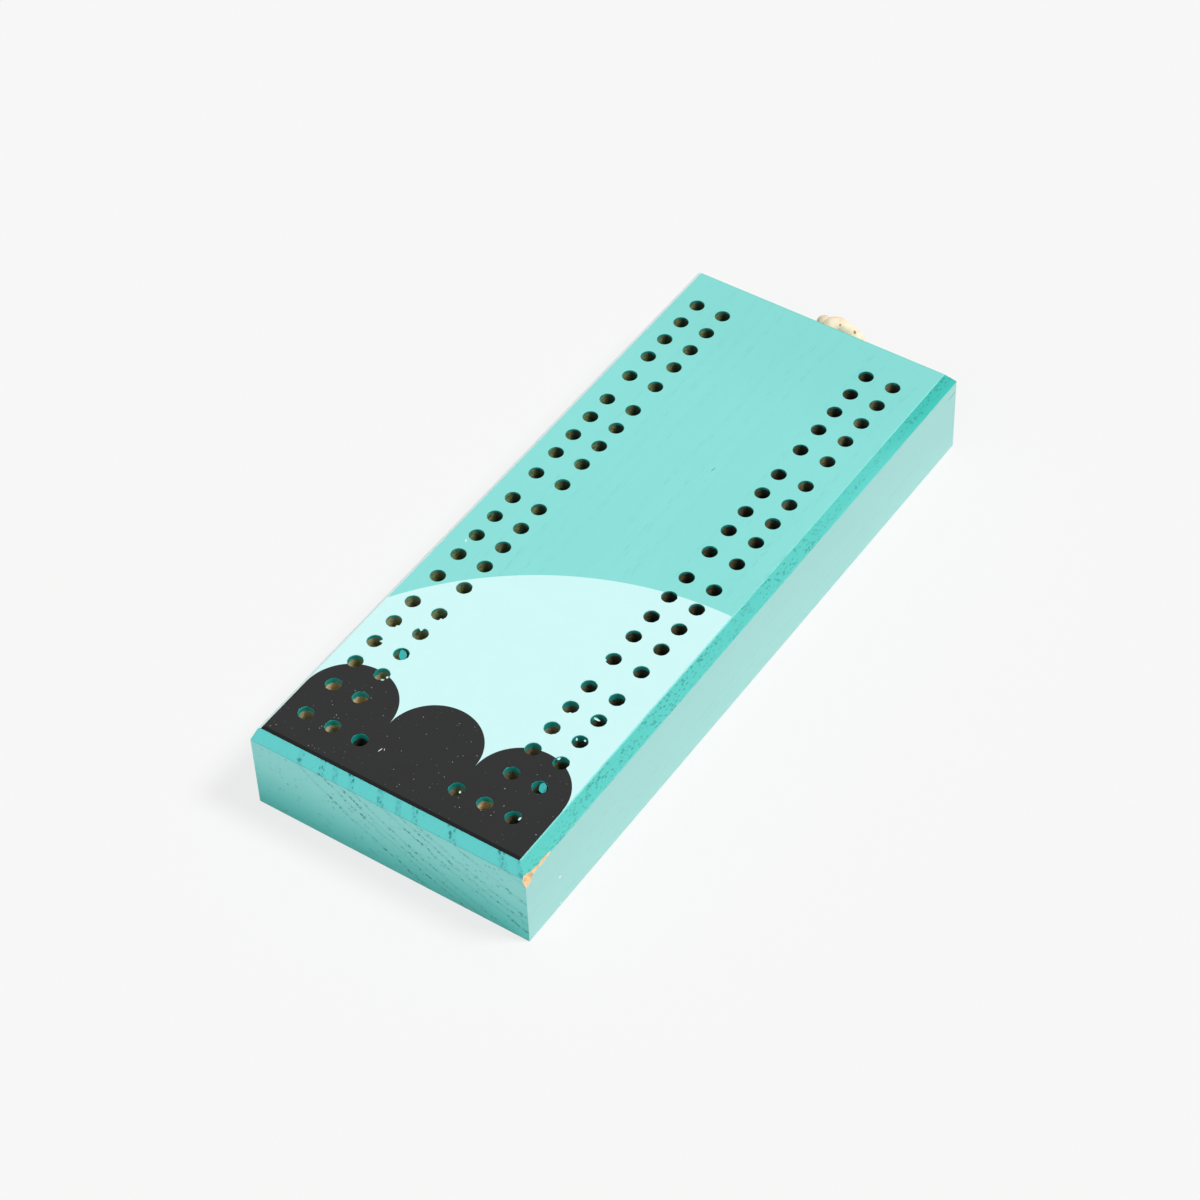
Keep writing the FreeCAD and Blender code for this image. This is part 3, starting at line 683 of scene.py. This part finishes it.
# Where the bit has pushed film into a hole: the hole, the tab's bearing and half width in degrees,
# and how far it reaches in, as a share of the hole's radius.
TABS = (
    ((19.85, 39.65), -62, 15, 0.50),
    ((19.85, 33.40), 138, 9, 0.24),
    ((26.25, 39.65), 150, 10, 0.18),
    ((26.25, 45.90), -150, 10, 0.42),
    ((-15.45, 39.65), 120, 9, 0.16),
    ((-15.45, 25.05), 40, 8, 0.18),
)


def ragged_punch(place):
    """A punch for the films: the hole's own circle, pulled inward where a torn tab is left."""
    punch = turn("punch", [(TOP - MM, HOLE_RADIUS), (TOP + MM, HOLE_RADIUS)], 64)
    tabs = [tab[1:] for tab in TABS if (place - Vector((*tab[0], 0)) * MM).length < MM]
    for vertex in punch.data.vertices:
        bearing = math.degrees(math.atan2(vertex.co.y, vertex.co.x))
        flat_place = Vector((place.x + vertex.co.x, place.y + vertex.co.y, 0))
        share = RIM_SLACK + RIM_ROUGHNESS * noise.noise(flat_place / RIM_GRAIN)
        for middle, width, reach in tabs:
            off = (bearing - middle + 180) % 360 - 180
            share -= reach * math.exp(-(off / width) ** 4)
        vertex.co.x *= share
        vertex.co.y *= share
    punch.data.transform(Matrix.Translation(place))
    return punch


def punch_film(film, finish):
    """Punches the peg holes that the film covers, and finishes it."""
    low, high = [Vector(corner) for corner in (film.bound_box[0], film.bound_box[6])]
    inside = [place for place in peg_holes if low.x - 2 * MM < place.x < high.x + 2 * MM
              and low.y - 2 * MM < place.y < high.y + 2 * MM]
    combine(film, join([ragged_punch(place) for place in inside], "punches"))
    return wear(film, finish)


band_edge = black_high.y - BAND_DEPTH
film_bottom = black_low.z + FILM_LIFT
black_film = slab("black_film", (black_low.x, band_edge, film_bottom), black_high)
scallop_width = (black_high.x - black_low.x) / SCALLOPS
for number in range(SCALLOPS):
    middle = Vector((black_low.x + scallop_width * (number + 0.5), band_edge, 0))
    rim = [(film_bottom, scallop_width / 2), (black_high.z, scallop_width / 2)]
    scallop = turn("scallop", rim, 96, middle)
    plane_away(scallop, (0, band_edge, 0), (0, 1, 0))
    combine(black_film, scallop, "UNION")
pale_corner = Vector((pale_low.x, black_high.y, 0))
pale_radius = black_high.y - pale_low.y
pale_film = turn("pale_film", [(film_bottom, pale_radius), (pale_high.z, pale_radius)], 360, pale_corner)
frame_low = (pale_low.x, pale_low.y - PAST, TOP - PAST)
combine(pale_film, slab("trim", frame_low, (pale_high.x, black_high.y, TOP + PAST)), "INTERSECT")
# The pale film ends at the black one, which is stretched here to cut it right through.
cover = copy_of(black_film, Matrix.Diagonal((1, 1, COVER_STRETCH, 1)))
stretched = (1 - COVER_STRETCH) / 2 * (film_bottom + black_high.z)
cover.data.transform(Matrix.Translation((0, 0, stretched)))
combine(pale_film, cover)
punch_film(black_film, black_film_finish)
punch_film(pale_film, pale_film_finish)
edit(black_film)
bpy.ops.mesh.bisect(plane_co=(0, black_high.y - EDGE_ROLL, 0), plane_no=(0, 1, 0), threshold=CUT_THRESHOLD)
start_modelling()
black_film.data.materials.append(black_edge_finish)
for face in black_film.data.polygons:
    if face.center.y > black_high.y - EDGE_ROLL:
        face.material_index = 1
for film, node, slot in ((black_film, "film_black", "black_print"), (pale_film, "film_pale", "pale_print")):
    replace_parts(film, node)
    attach(film, "board")

# Crumbs left at the holes: two ovals of paint skin hanging in the mouth, and curled scraps of the
# pale film at the rims. Each has a place, a half width, a half length, and a turn in its own plane.
SKIN_THICK = 0.05 * MM
CRUMB_BEARING = -145
CRUMB_TILT = 43
CRUMB_ROUGHNESS = 0.16
CRUMB_GRAIN = 0.5 * MM
CRUMB_CUP = 0.12 * MM
PAINT_FLAPS = (
    ((19.84, 45.45, 18.30), 0.76, 1.06, 0),
    ((-22.08, 58.54, 18.30), 0.76, 1.02, 0),
)
SCRAPS = (
    ((19.00, 53.15, 18.93), 0.42, 0.15, -8),
    ((18.62, 52.15, 18.93), 0.26, 0.20, 40),
    ((-9.90, 68.02, 18.93), 0.26, 0.20, 50),
    ((-22.95, 67.30, 18.93), 0.38, 0.20, 45),
    ((-21.26, 39.34, 18.93), 0.66, 0.19, -31),
    ((-20.90, 45.60, 18.93), 0.18, 0.26, 10),
    ((-22.45, 45.10, 18.93), 0.20, 0.20, 30),
    ((-20.80, 51.40, 18.93), 0.36, 0.20, 20),
)


def crumb(place, half_width, half_length, twist):
    """A thin ragged oval scrap, cupped a little, leaning back, and no higher than the films."""
    start_modelling()
    bpy.ops.mesh.primitive_circle_add(vertices=20, radius=MM, fill_type="TRIFAN")
    piece = bpy.context.object
    edit(piece)
    bpy.ops.mesh.subdivide(number_cuts=2, smoothness=0)
    start_modelling()
    for vertex in piece.data.vertices:
        edge = vertex.co.length / MM
        ragged = 1 + CRUMB_ROUGHNESS * noise.noise(vertex.co / CRUMB_GRAIN + Vector(place))
        vertex.co.x *= half_width * ragged
        vertex.co.y *= half_length * ragged
        vertex.co.z = CRUMB_CUP * half_width * edge * edge
    press(piece, "SOLIDIFY", thickness=SKIN_THICK, offset=0)
    turns = ((CRUMB_BEARING, "Z"), (CRUMB_TILT, "X"), (twist, "Z"))
    for angle, axis in reversed(turns):
        piece.data.transform(spin(angle, axis))
    peak = max(vertex.co.z for vertex in piece.data.vertices)
    place = Vector(place) * MM
    place.z = min(place.z, pale_high.z - peak)
    piece.data.transform(Matrix.Translation(place))
    return piece


flap_finish = paint("paint_skin", (0.030, 0.500, 0.480), 0.1, gloss=0.30)
for name, crumbs, finish, slot in (("paint_flaps", PAINT_FLAPS, flap_finish, "painted_wood"),
                                   ("film_scraps", SCRAPS, pale_film_finish, "pale_print")):
    scraps = join([crumb(*oval) for oval in crumbs], name)
    smooth(wear(scraps, finish), 60)
    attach(scraps, "board")

# ------------------- the magnets of the catch
# Two small nickel-plated disc magnets, glued flush on edge: one in the end wall of the channel and
# one in the back of the drawer, so that the drawer clicks shut.
nickel = new_finish("nickel_plate")
brushed = cloud(nickel, (0.05 * MM, 1.5 * MM, 0.9 * MM))
nickel_colour = tint(nickel, fade(nickel, brushed, 0.3, 0.7), (0.66, 0.64, 0.60), (0.52, 0.51, 0.49))
nickel_rough = fade(nickel, brushed, 0.3, 0.7, 0.20, 0.34)
dress(nickel, Base_Color=nickel_colour, Roughness=nickel_rough, Metallic=1.0,
      Normal=relief(nickel, brushed, 0.004 * MM))
for node, body in (("catch_magnet", "board"), ("drawer_magnet", "drawer")):
    low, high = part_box(node)
    thick = high.y - low.y
    rounding = 0.18 * MM
    outline = [(0, MAGNET_RADIUS - rounding), (rounding * 0.3, MAGNET_RADIUS - rounding * 0.3),
               (rounding, MAGNET_RADIUS), (thick - rounding, MAGNET_RADIUS),
               (thick - rounding * 0.3, MAGNET_RADIUS - rounding * 0.3), (thick, MAGNET_RADIUS - rounding)]
    magnet = turn(node + "_disc", outline, 48)
    lay_back(magnet, ((low.x + high.x) / 2, low.y, (low.z + high.z) / 2))
    smooth(wear(magnet, nickel), 40)
    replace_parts(magnet, node)
    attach(magnet, body)

# ------------------- the base panel and its screws
# A thin strip of the same wood let into the underside, which closes the channel and carries the
# drawer. Six slotted brass wood screws hold it, and a seventh, shorter one stops the drawer.
SCREW_SINK = 0.1 * MM
SCREW_SLOT = Vector((0, 0.5, 0.4)) * MM
THREAD_PITCH = 0.7 * MM
THREAD_DEPTH = 0.22 * MM
FIRST_TWIST = 12
NEXT_TWIST = 37
STOP_TWIST = 64
stop_low, stop_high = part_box("stop_screw")
stop_place = Vector(((stop_low.x + stop_high.x) / 2, (stop_low.y + stop_high.y) / 2, 0))
head_face = screw_low.z
cone = SCREW_HEAD - SCREW_RADIUS

brass = new_finish("turned_brass")
scuff = cloud(brass, (0.25 * MM, 0.06 * MM, 0.25 * MM), 4.0)
patina = cloud(brass, 1.6 * MM)
brass_colour = tint(brass, fade(brass, patina, 0.35, 0.7), (0.80, 0.58, 0.26), (0.52, 0.34, 0.13))
dress(brass, Base_Color=brass_colour, Roughness=fade(brass, scuff, 0.3, 0.7, 0.22, 0.42), Metallic=1.0,
      Normal=relief(brass, scuff, 0.01 * MM))

panel_wood = raw_wood("panel_wood", light=(0.72, 0.52, 0.32), dark=(0.56, 0.36, 0.19))
panel = slab("panel", panel_low, panel_high)
soften(panel, 0.15 * MM)
seat_outline = [(-PAST, SCREW_HEAD + SCREW_SINK), (panel_low.z, SCREW_HEAD + SCREW_SINK),
                (head_face + cone, SCREW_RADIUS), (panel_high.z + PAST, SCREW_RADIUS)]
seat_places = [Matrix.Translation(place) for place in screw_places + [stop_place]]
combine(panel, repeat(turn("seat", seat_outline), seat_places, "seats"))
smooth(wear(panel, panel_wood))
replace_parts(panel, "base_panel")
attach(panel, "board")


def wood_screw(name, tip):
    """A countersunk slotted screw, head down, cut with rings of thread up to its point."""
    outline = [(head_face, SCREW_HEAD - 0.12 * MM), (head_face + 0.06 * MM, SCREW_HEAD),
               (head_face + 0.16 * MM, SCREW_HEAD), (head_face + cone + 0.16 * MM, SCREW_RADIUS)]
    root = SCREW_RADIUS - THREAD_DEPTH
    height = panel_high.z - 0.6 * MM
    while height + THREAD_PITCH < tip - MM:
        outline += [(height, root), (height + THREAD_PITCH * 0.45, root),
                    (height + THREAD_PITCH * 0.7, SCREW_RADIUS)]
        height += THREAD_PITCH
    outline += [(tip - 0.9 * MM, SCREW_RADIUS * 0.62), (tip, SCREW_RADIUS * 0.10)]
    screw = turn(name, outline, 28)
    wide = Vector((SCREW_HEAD * 1.2, SCREW_SLOT.y / 2, 0))
    low = Vector((0, 0, head_face - MM)) - wide
    high = Vector((0, 0, head_face + SCREW_SLOT.z)) + wide
    combine(screw, slab("slot_cutter", low, high))
    return screw


driven = []
for number, place in enumerate(screw_places):
    driven.append(Matrix.Translation(place) @ spin(FIRST_TWIST + number * NEXT_TWIST, "Z"))
brass_screws = repeat(wood_screw("screw", screw_high.z), driven, "brass_screws")
drawer_stop = wood_screw("drawer_stop", stop_high.z)
drawer_stop.data.transform(Matrix.Translation(stop_place) @ spin(STOP_TWIST, "Z"))
for piece, node in ((brass_screws, "panel_screws"), (drawer_stop, "stop_screw")):
    smooth(wear(piece, brass), 30)
    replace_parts(piece, node)
    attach(piece, "board")

# ------------------- the drawer
# A long thin tray: a front block painted like the board's end, two sides lapped into it, a back and
# a thin bottom between them. Glued, with two brads through the side at each corner.
BRAD_RADIUS = 0.45 * MM
NAIL_HOLE_RADIUS = BRAD_RADIUS + 0.05 * MM
LACE_RADIUS = 1.75 * MM
EYELET_RADIUS = LACE_RADIUS + 0.1 * MM
left_low, left_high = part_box("drawer_side_left")
right_low, right_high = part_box("drawer_side_right")
back_low, back_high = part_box("drawer_back")
bottom_low, bottom_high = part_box("drawer_bottom")
brad_low, brad_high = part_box("drawer_brads")
magnet_low, magnet_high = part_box("drawer_magnet")
BRAD_LENGTH = 6.0 * MM
BRAD_SINK = 0.15 * MM
PULL_HEIGHT = front_high.z - 3.8 * MM
brad_heights = (brad_low.z + BRAD_RADIUS, brad_high.z - BRAD_RADIUS)
brad_stations = (brad_low.y + BRAD_RADIUS, brad_high.y - BRAD_RADIUS)


def place_brads(brad):
    """Copies of a brad that stands head down on the origin, one at each nailing point."""
    driven = []
    for y in brad_stations:
        for z in brad_heights:
            driven.append(Matrix.Translation((front_low.x, y, z)) @ spin(90, "Y"))
            driven.append(Matrix.Translation((front_high.x, y, z)) @ spin(-90, "Y"))
    return repeat(brad, driven, "brads")


def nail_holes(piece):
    bore = [(-MM, NAIL_HOLE_RADIUS), (BRAD_LENGTH, NAIL_HOLE_RADIUS)]
    combine(piece, place_brads(turn("nail_hole", bore, 16)))


drawer_front = slab("drawer_front_block", front_low, front_high)
for outer, inner in ((front_low.x - PAST, left_high.x), (right_low.x, front_high.x + PAST)):
    low = (min(outer, inner), left_low.y, front_low.z - PAST)
    high = (max(outer, inner), front_high.y + PAST, front_high.z + PAST)
    combine(drawer_front, slab("rebate_cutter", low, high))
soften(drawer_front, 0.22 * MM, 3)
eyelet_end = front_high.y - front_low.y + PAST
eyelet = turn("eyelet", [(-PAST, EYELET_RADIUS), (eyelet_end, EYELET_RADIUS)])
lay_back(eyelet, (0, front_low.y, PULL_HEIGHT))
tray_wood = raw_wood("tray_wood", light=(0.76, 0.57, 0.36), dark=(0.60, 0.41, 0.22))
cross_wood = raw_wood("tray_wood_across", along="X", light=(0.76, 0.57, 0.36), dark=(0.60, 0.41, 0.22))
thin_wood = raw_wood("bottom_wood", light=(0.80, 0.63, 0.42), dark=(0.66, 0.48, 0.28), figure=0.7)
front_paint = paint("teal_paint_on_drawer_front", PAINT, 0.30, 6 * MM)
combine(drawer_front, eyelet)
nail_holes(drawer_front)
wear(drawer_front, cross_wood)
drawer_front.data.materials.append(front_paint)
for face in drawer_front.data.polygons:
    if face.normal.y < -0.3 and face.center.y < front_low.y + 0.5 * MM:
        face.material_index = 1

drawer_parts = [
    (drawer_front, "drawer_front", "painted_wood"),
    (slab("drawer_side_strip_left", left_low, left_high), "drawer_side_left", "bare_wood"),
    (slab("drawer_side_strip_right", right_low, right_high), "drawer_side_right", "bare_wood"),
    (slab("drawer_back_strip", back_low, back_high), "drawer_back", "bare_wood"),
    (slab("drawer_bottom_board", bottom_low, bottom_high), "drawer_bottom", "bare_wood"),
]
GROOVE_HALF = 1.3 * MM
GROOVE_DEPTH = 0.9 * MM
for piece, node, slot in drawer_parts:
    if node != "drawer_front":
        soften(piece, 0.2 * MM, 3)
    if node in ("drawer_side_left", "drawer_side_right", "drawer_back"):
        nail_holes(piece)
    if node == "drawer_back":
        pocket = turn("pocket", [(magnet_low.y - magnet_high.y, MAGNET_RADIUS), (PAST, MAGNET_RADIUS)], 40)
        combine(piece, lay_back(pocket, (0, back_high.y, catch_middle.z)))
    if node == "drawer_bottom":
        travel = frame["joints"][0]["range_m"][1]
        low = (-GROOVE_HALF, stop_place.y - GROOVE_HALF, bottom_low.z - PAST)
        high = (GROOVE_HALF, stop_place.y + travel + GROOVE_HALF, bottom_low.z + GROOVE_DEPTH)
        combine(piece, slab("groove_cutter", low, high))
    if node != "drawer_front":
        wood = {"drawer_back": cross_wood, "drawer_bottom": thin_wood}.get(node, tray_wood)
        wear(piece, wood)
    smooth(piece)
    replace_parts(piece, node)
    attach(piece, "drawer")

brad_outline = [(BRAD_SINK, BRAD_RADIUS * 0.6), (BRAD_SINK + 0.08 * MM, BRAD_RADIUS),
                (BRAD_SINK + 0.5 * MM, BRAD_RADIUS), (BRAD_SINK + 0.65 * MM, BRAD_RADIUS * 0.8),
                (BRAD_LENGTH - MM, BRAD_RADIUS * 0.8), (BRAD_LENGTH, BRAD_RADIUS * 0.12)]
brass_brads = place_brads(turn("brad", brad_outline, 20))
brass_brads.name = "brass_brads"
smooth(wear(brass_brads, brass), 40)
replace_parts(brass_brads, "drawer_brads")
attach(brass_brads, "drawer")

# ------------------- the leather pull
# A length of round undyed leather lace through the drawer front, tied in a tight overhand knot
# outside as the pull, and stopped by a small hitch inside.
LACE_SIDES = 7
HITCH_RADIUS = 1.2 * MM
HITCH_WIDTH = 2.15 * MM
HITCH_TURNS = 1.4
HITCH_STEPS = 8
HITCH_START = -70
HITCH_DEPTH = 7.4 * MM
HITCH_LEAD = 0.24 * MM
mouth = Vector((0, front_low.y, PULL_HEIGHT))
# The lace from inside the drawer, out through the front, and over, under and through itself.
KNOT_ROUTE = (
    (0, 11.4, 0.1), (0, 9.0, 0), (0, 3.25, 0), (0, -0.55, 0), (-0.8, -2.15, -1.2), (-2.8, -3.15, -2.8),
    (-4.8, -4.95, -2.4), (-4.7, -7.15, -0.6), (-2.6, -6.75, 1.4), (0.8, -6.75, 3.4), (2.3, -4.35, 3.7),
    (1.6, -2.15, 0.6), (2.4, -2.55, -2.4), (3.8, -4.95, -3.2), (4.2, -6.95, -1.2), (4.2, -6.75, 1.9),
    (3.5, -4.95, 3.4), (1.9, -4.35, 1.8), (0.8, -5.55, -0.2), (-0.8, -7.35, -1.7), (-1.8, -7.85, -3.0),
)

# Two small brown flaws in the hide, on top of the knot.
FLAWS = ((Vector((-3.35, -84.77, 13.44)) * MM, 0.40), (Vector((-0.37, -83.65, 14.92)) * MM, 0.26))

leather = new_finish("undyed_leather")
patch = cloud(leather, 2.2 * MM, 5.0)
pebble = cells(leather, 0.42 * MM)[0]
distance, kept = cells(leather, 1.3 * MM)
fleck = spots(leather, distance, fade(leather, kept[0], 0.72, 1.0, 0.0, 0.22), -0.08, 0.05)
hide = tint(leather, fade(leather, patch, 0.36, 0.66), (0.98, 0.84, 0.65), (0.94, 0.74, 0.50))
hide = tint(leather, times(leather, fleck, 0.75), hide, (0.36, 0.21, 0.09))
for centre, size in FLAWS:
    hide = tint(leather, mark(leather, centre, (size,) * 3, ragged=0.9), hide, (0.40, 0.19, 0.06))
grain = relief(leather, pebble, 0.04 * MM)
dress(leather, Base_Color=hide, Normal=relief(leather, patch, 0.12 * MM, grain), Roughness=0.62,
      Subsurface_Weight=0.12, Subsurface_Scale=0.8 * MM)


def lace(name, route, radius):
    """A round lace along a smooth route, its cut ends closed."""
    line = bpy.data.curves.new(name, "CURVE")
    line.dimensions = "3D"
    line.bevel_depth = radius
    line.bevel_resolution = LACE_SIDES
    line.use_fill_caps = True
    line.resolution_u = 8
    spline = line.splines.new("NURBS")
    spline.points.add(len(route) - 1)
    for point, place in zip(spline.points, route):
        point.co = (*place, 1)
    spline.order_u = 4
    spline.use_endpoint_u = True
    take(add_object(name, line))
    bpy.ops.object.convert(target="MESH")
    return bpy.context.object


knot = lace("knot", [mouth + Vector(point) * MM for point in KNOT_ROUTE], LACE_RADIUS)
hitch_route = []
for number in range(round(HITCH_TURNS * HITCH_STEPS)):
    angle = math.radians(HITCH_START + 360 / HITCH_STEPS * number)
    around = Vector((math.cos(angle) * HITCH_WIDTH, 0, math.sin(angle) * HITCH_WIDTH))
    hitch_route.append(mouth + around + Vector((0, HITCH_DEPTH + HITCH_LEAD * number, 0)))
pull = join([knot, lace("hitch", hitch_route, HITCH_RADIUS)], "pull")
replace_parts(wear(pull, leather), "leather_pull")
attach(pull, "drawer")

# ------------------- the pegs
# Six little turned pegs, three of pale maple and three stained dark, lying head to tail in the
# drawer on their collars: a tapered tip, a straight shank, a collar, and a waisted grip.
TIP_LENGTH = 1.4
SHANK_END = 13.0
SHANK_RADIUS = 1.5
COLLAR_RADIUS = 2.2
PEG_OUTLINE = (
    (0.0, 0.55), (0.12, 0.80), (0.35, 0.97), (TIP_LENGTH, 1.48), (1.6, SHANK_RADIUS),
    (12.85, SHANK_RADIUS), (12.95, 1.62), (SHANK_END, 1.95), (13.15, 2.13), (13.45, COLLAR_RADIUS),
    (13.75, COLLAR_RADIUS), (14.05, 2.13), (14.2, 1.95), (14.35, 1.62), (14.8, 1.32), (15.4, 1.2),
    (17.4, 1.36), (20.0, 1.56), (23.2, 1.74), (24.4, 1.8), (24.8, 1.8), (25.2, 1.70), (25.6, 1.48),
    (25.88, 1.12), (26.0, 0.6),
)
PEG_TILT = math.degrees(math.atan2(COLLAR_RADIUS - SHANK_RADIUS, SHANK_END - TIP_LENGTH))
TURNED_PEG = [(height * MM, radius * MM) for height, radius in PEG_OUTLINE]


def peg_finish(name, light, dark, gloss):
    finish = raw_wood(name, along="Y", light=light, dark=dark, figure=0.8, gloss=gloss)
    dress(finish, Coat_Weight=0.25, Coat_Roughness=0.3)
    return finish


peg_finishes = {
    "light": peg_finish("waxed_maple", (0.80, 0.62, 0.40), (0.66, 0.46, 0.26), 0.42),
    "dark": peg_finish("stained_maple", (0.110, 0.052, 0.030), (0.052, 0.024, 0.015), 0.38),
}
blank = turn("peg_blank", TURNED_PEG, 36)
for shade, finish in peg_finishes.items():
    for number in (1, 2, 3):
        node = f"peg_{shade}_{number}"
        low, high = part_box(node)
        sense = 1 if number % 2 else -1
        peg = copy_of(blank, spin(-sense * (90 - PEG_TILT), "X"))
        foot = Vector((0, min(v.co.y for v in peg.data.vertices), min(v.co.z for v in peg.data.vertices)))
        peg.data.transform(Matrix.Translation(Vector(((low.x + high.x) / 2, low.y, low.z)) - foot))
        peg.name = f"turned_peg_{shade}_{number}"
        smooth(wear(peg, finish), 50)
        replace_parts(peg, node)
        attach(peg, "drawer")
bpy.data.objects.remove(blank)

# ------------------- the studio
# A pale seamless floor, an even white sky, a soft lamp high over the right side and the far end,
# and a faint, broader one low before the starting end.
FLOOR_SIZE = 6.0
FLOOR_COLOUR = (0.94, 0.94, 0.94)
BACKGROUND = (0.932, 0.934, 0.930)
SHADOW_KEPT = 0.18
SKY_LEVEL = 0.22
LAMPS = (
    ("soft_lamp", 2.60, (-0.50, -0.26, 0.83), 18),
    ("fill_lamp", 0.68, (0.10, 0.92, 0.38), 50),
)

start_modelling()
bpy.ops.mesh.primitive_plane_add(size=FLOOR_SIZE)
floor = settle(bpy.context.object, "floor")
floor_finish = new_finish("floor_paper")
dress(floor_finish, Base_Color=(*FLOOR_COLOUR, 1), Roughness=0.95, Specular_IOR_Level=0.0)
wear(floor, floor_finish)
world = bpy.data.worlds.new("studio")
world.use_nodes = True
bpy.context.scene.world = world


def backdrop(holder, lit, seen, share, output):
    """Shows one shader to the camera and in reflections, in a share, and lets another one light."""
    rays = step(holder, "LightPath", {}).outputs
    direct = rays["Is Camera Ray"]
    for kind in ("Is Glossy Ray", "Is Transmission Ray"):
        direct = sums(holder, "MAXIMUM", direct, rays[kind])
    share = times(holder, direct, share)
    mixed = step(holder, "MixShader", {0: share, 1: lit, 2: seen}).outputs[0]
    feed(holder, holder.node_tree.nodes[output], {"Surface": mixed})


glow = step(floor_finish, "Emission", {"Color": (*BACKGROUND, 1), "Strength": 1.0})
paper = floor_finish.node_tree.nodes["Principled BSDF"]
backdrop(floor_finish, paper.outputs[0], glow.outputs[0], 1 - SHADOW_KEPT, "Material Output")
lit = world.node_tree.nodes["Background"]
feed(world, lit, {"Color": (1, 1, 1, 1), "Strength": SKY_LEVEL})
seen = step(world, "Background", {"Color": (*BACKGROUND, 1)})
backdrop(world, lit.outputs[0], seen.outputs[0], 1.0, "World Output")

for name, level, direction, spread in LAMPS:
    lamp_data = bpy.data.lights.new(name, "SUN")
    lamp_data.energy = level
    lamp_data.angle = math.radians(spread)
    lamp = add_object(name, lamp_data)
    lamp.rotation_euler = Vector(direction).to_track_quat("Z", "Y").to_euler()

CAMERA_PLACE = Vector((-274.88, 387.19, 505.96)) * MM
CAMERA_TURN = (43.4226, 1.7725, -145.9859)
CAMERA_LENS = 103.07
camera_data = bpy.data.cameras.new("camera")
camera_data.lens = CAMERA_LENS
camera_data.sensor_width = 36
camera = add_object("camera", camera_data)
camera.location = CAMERA_PLACE
camera.rotation_euler = [math.radians(angle) for angle in CAMERA_TURN]
bpy.context.scene.camera = camera
bpy.context.scene.view_settings.view_transform = "Standard"

start_modelling()
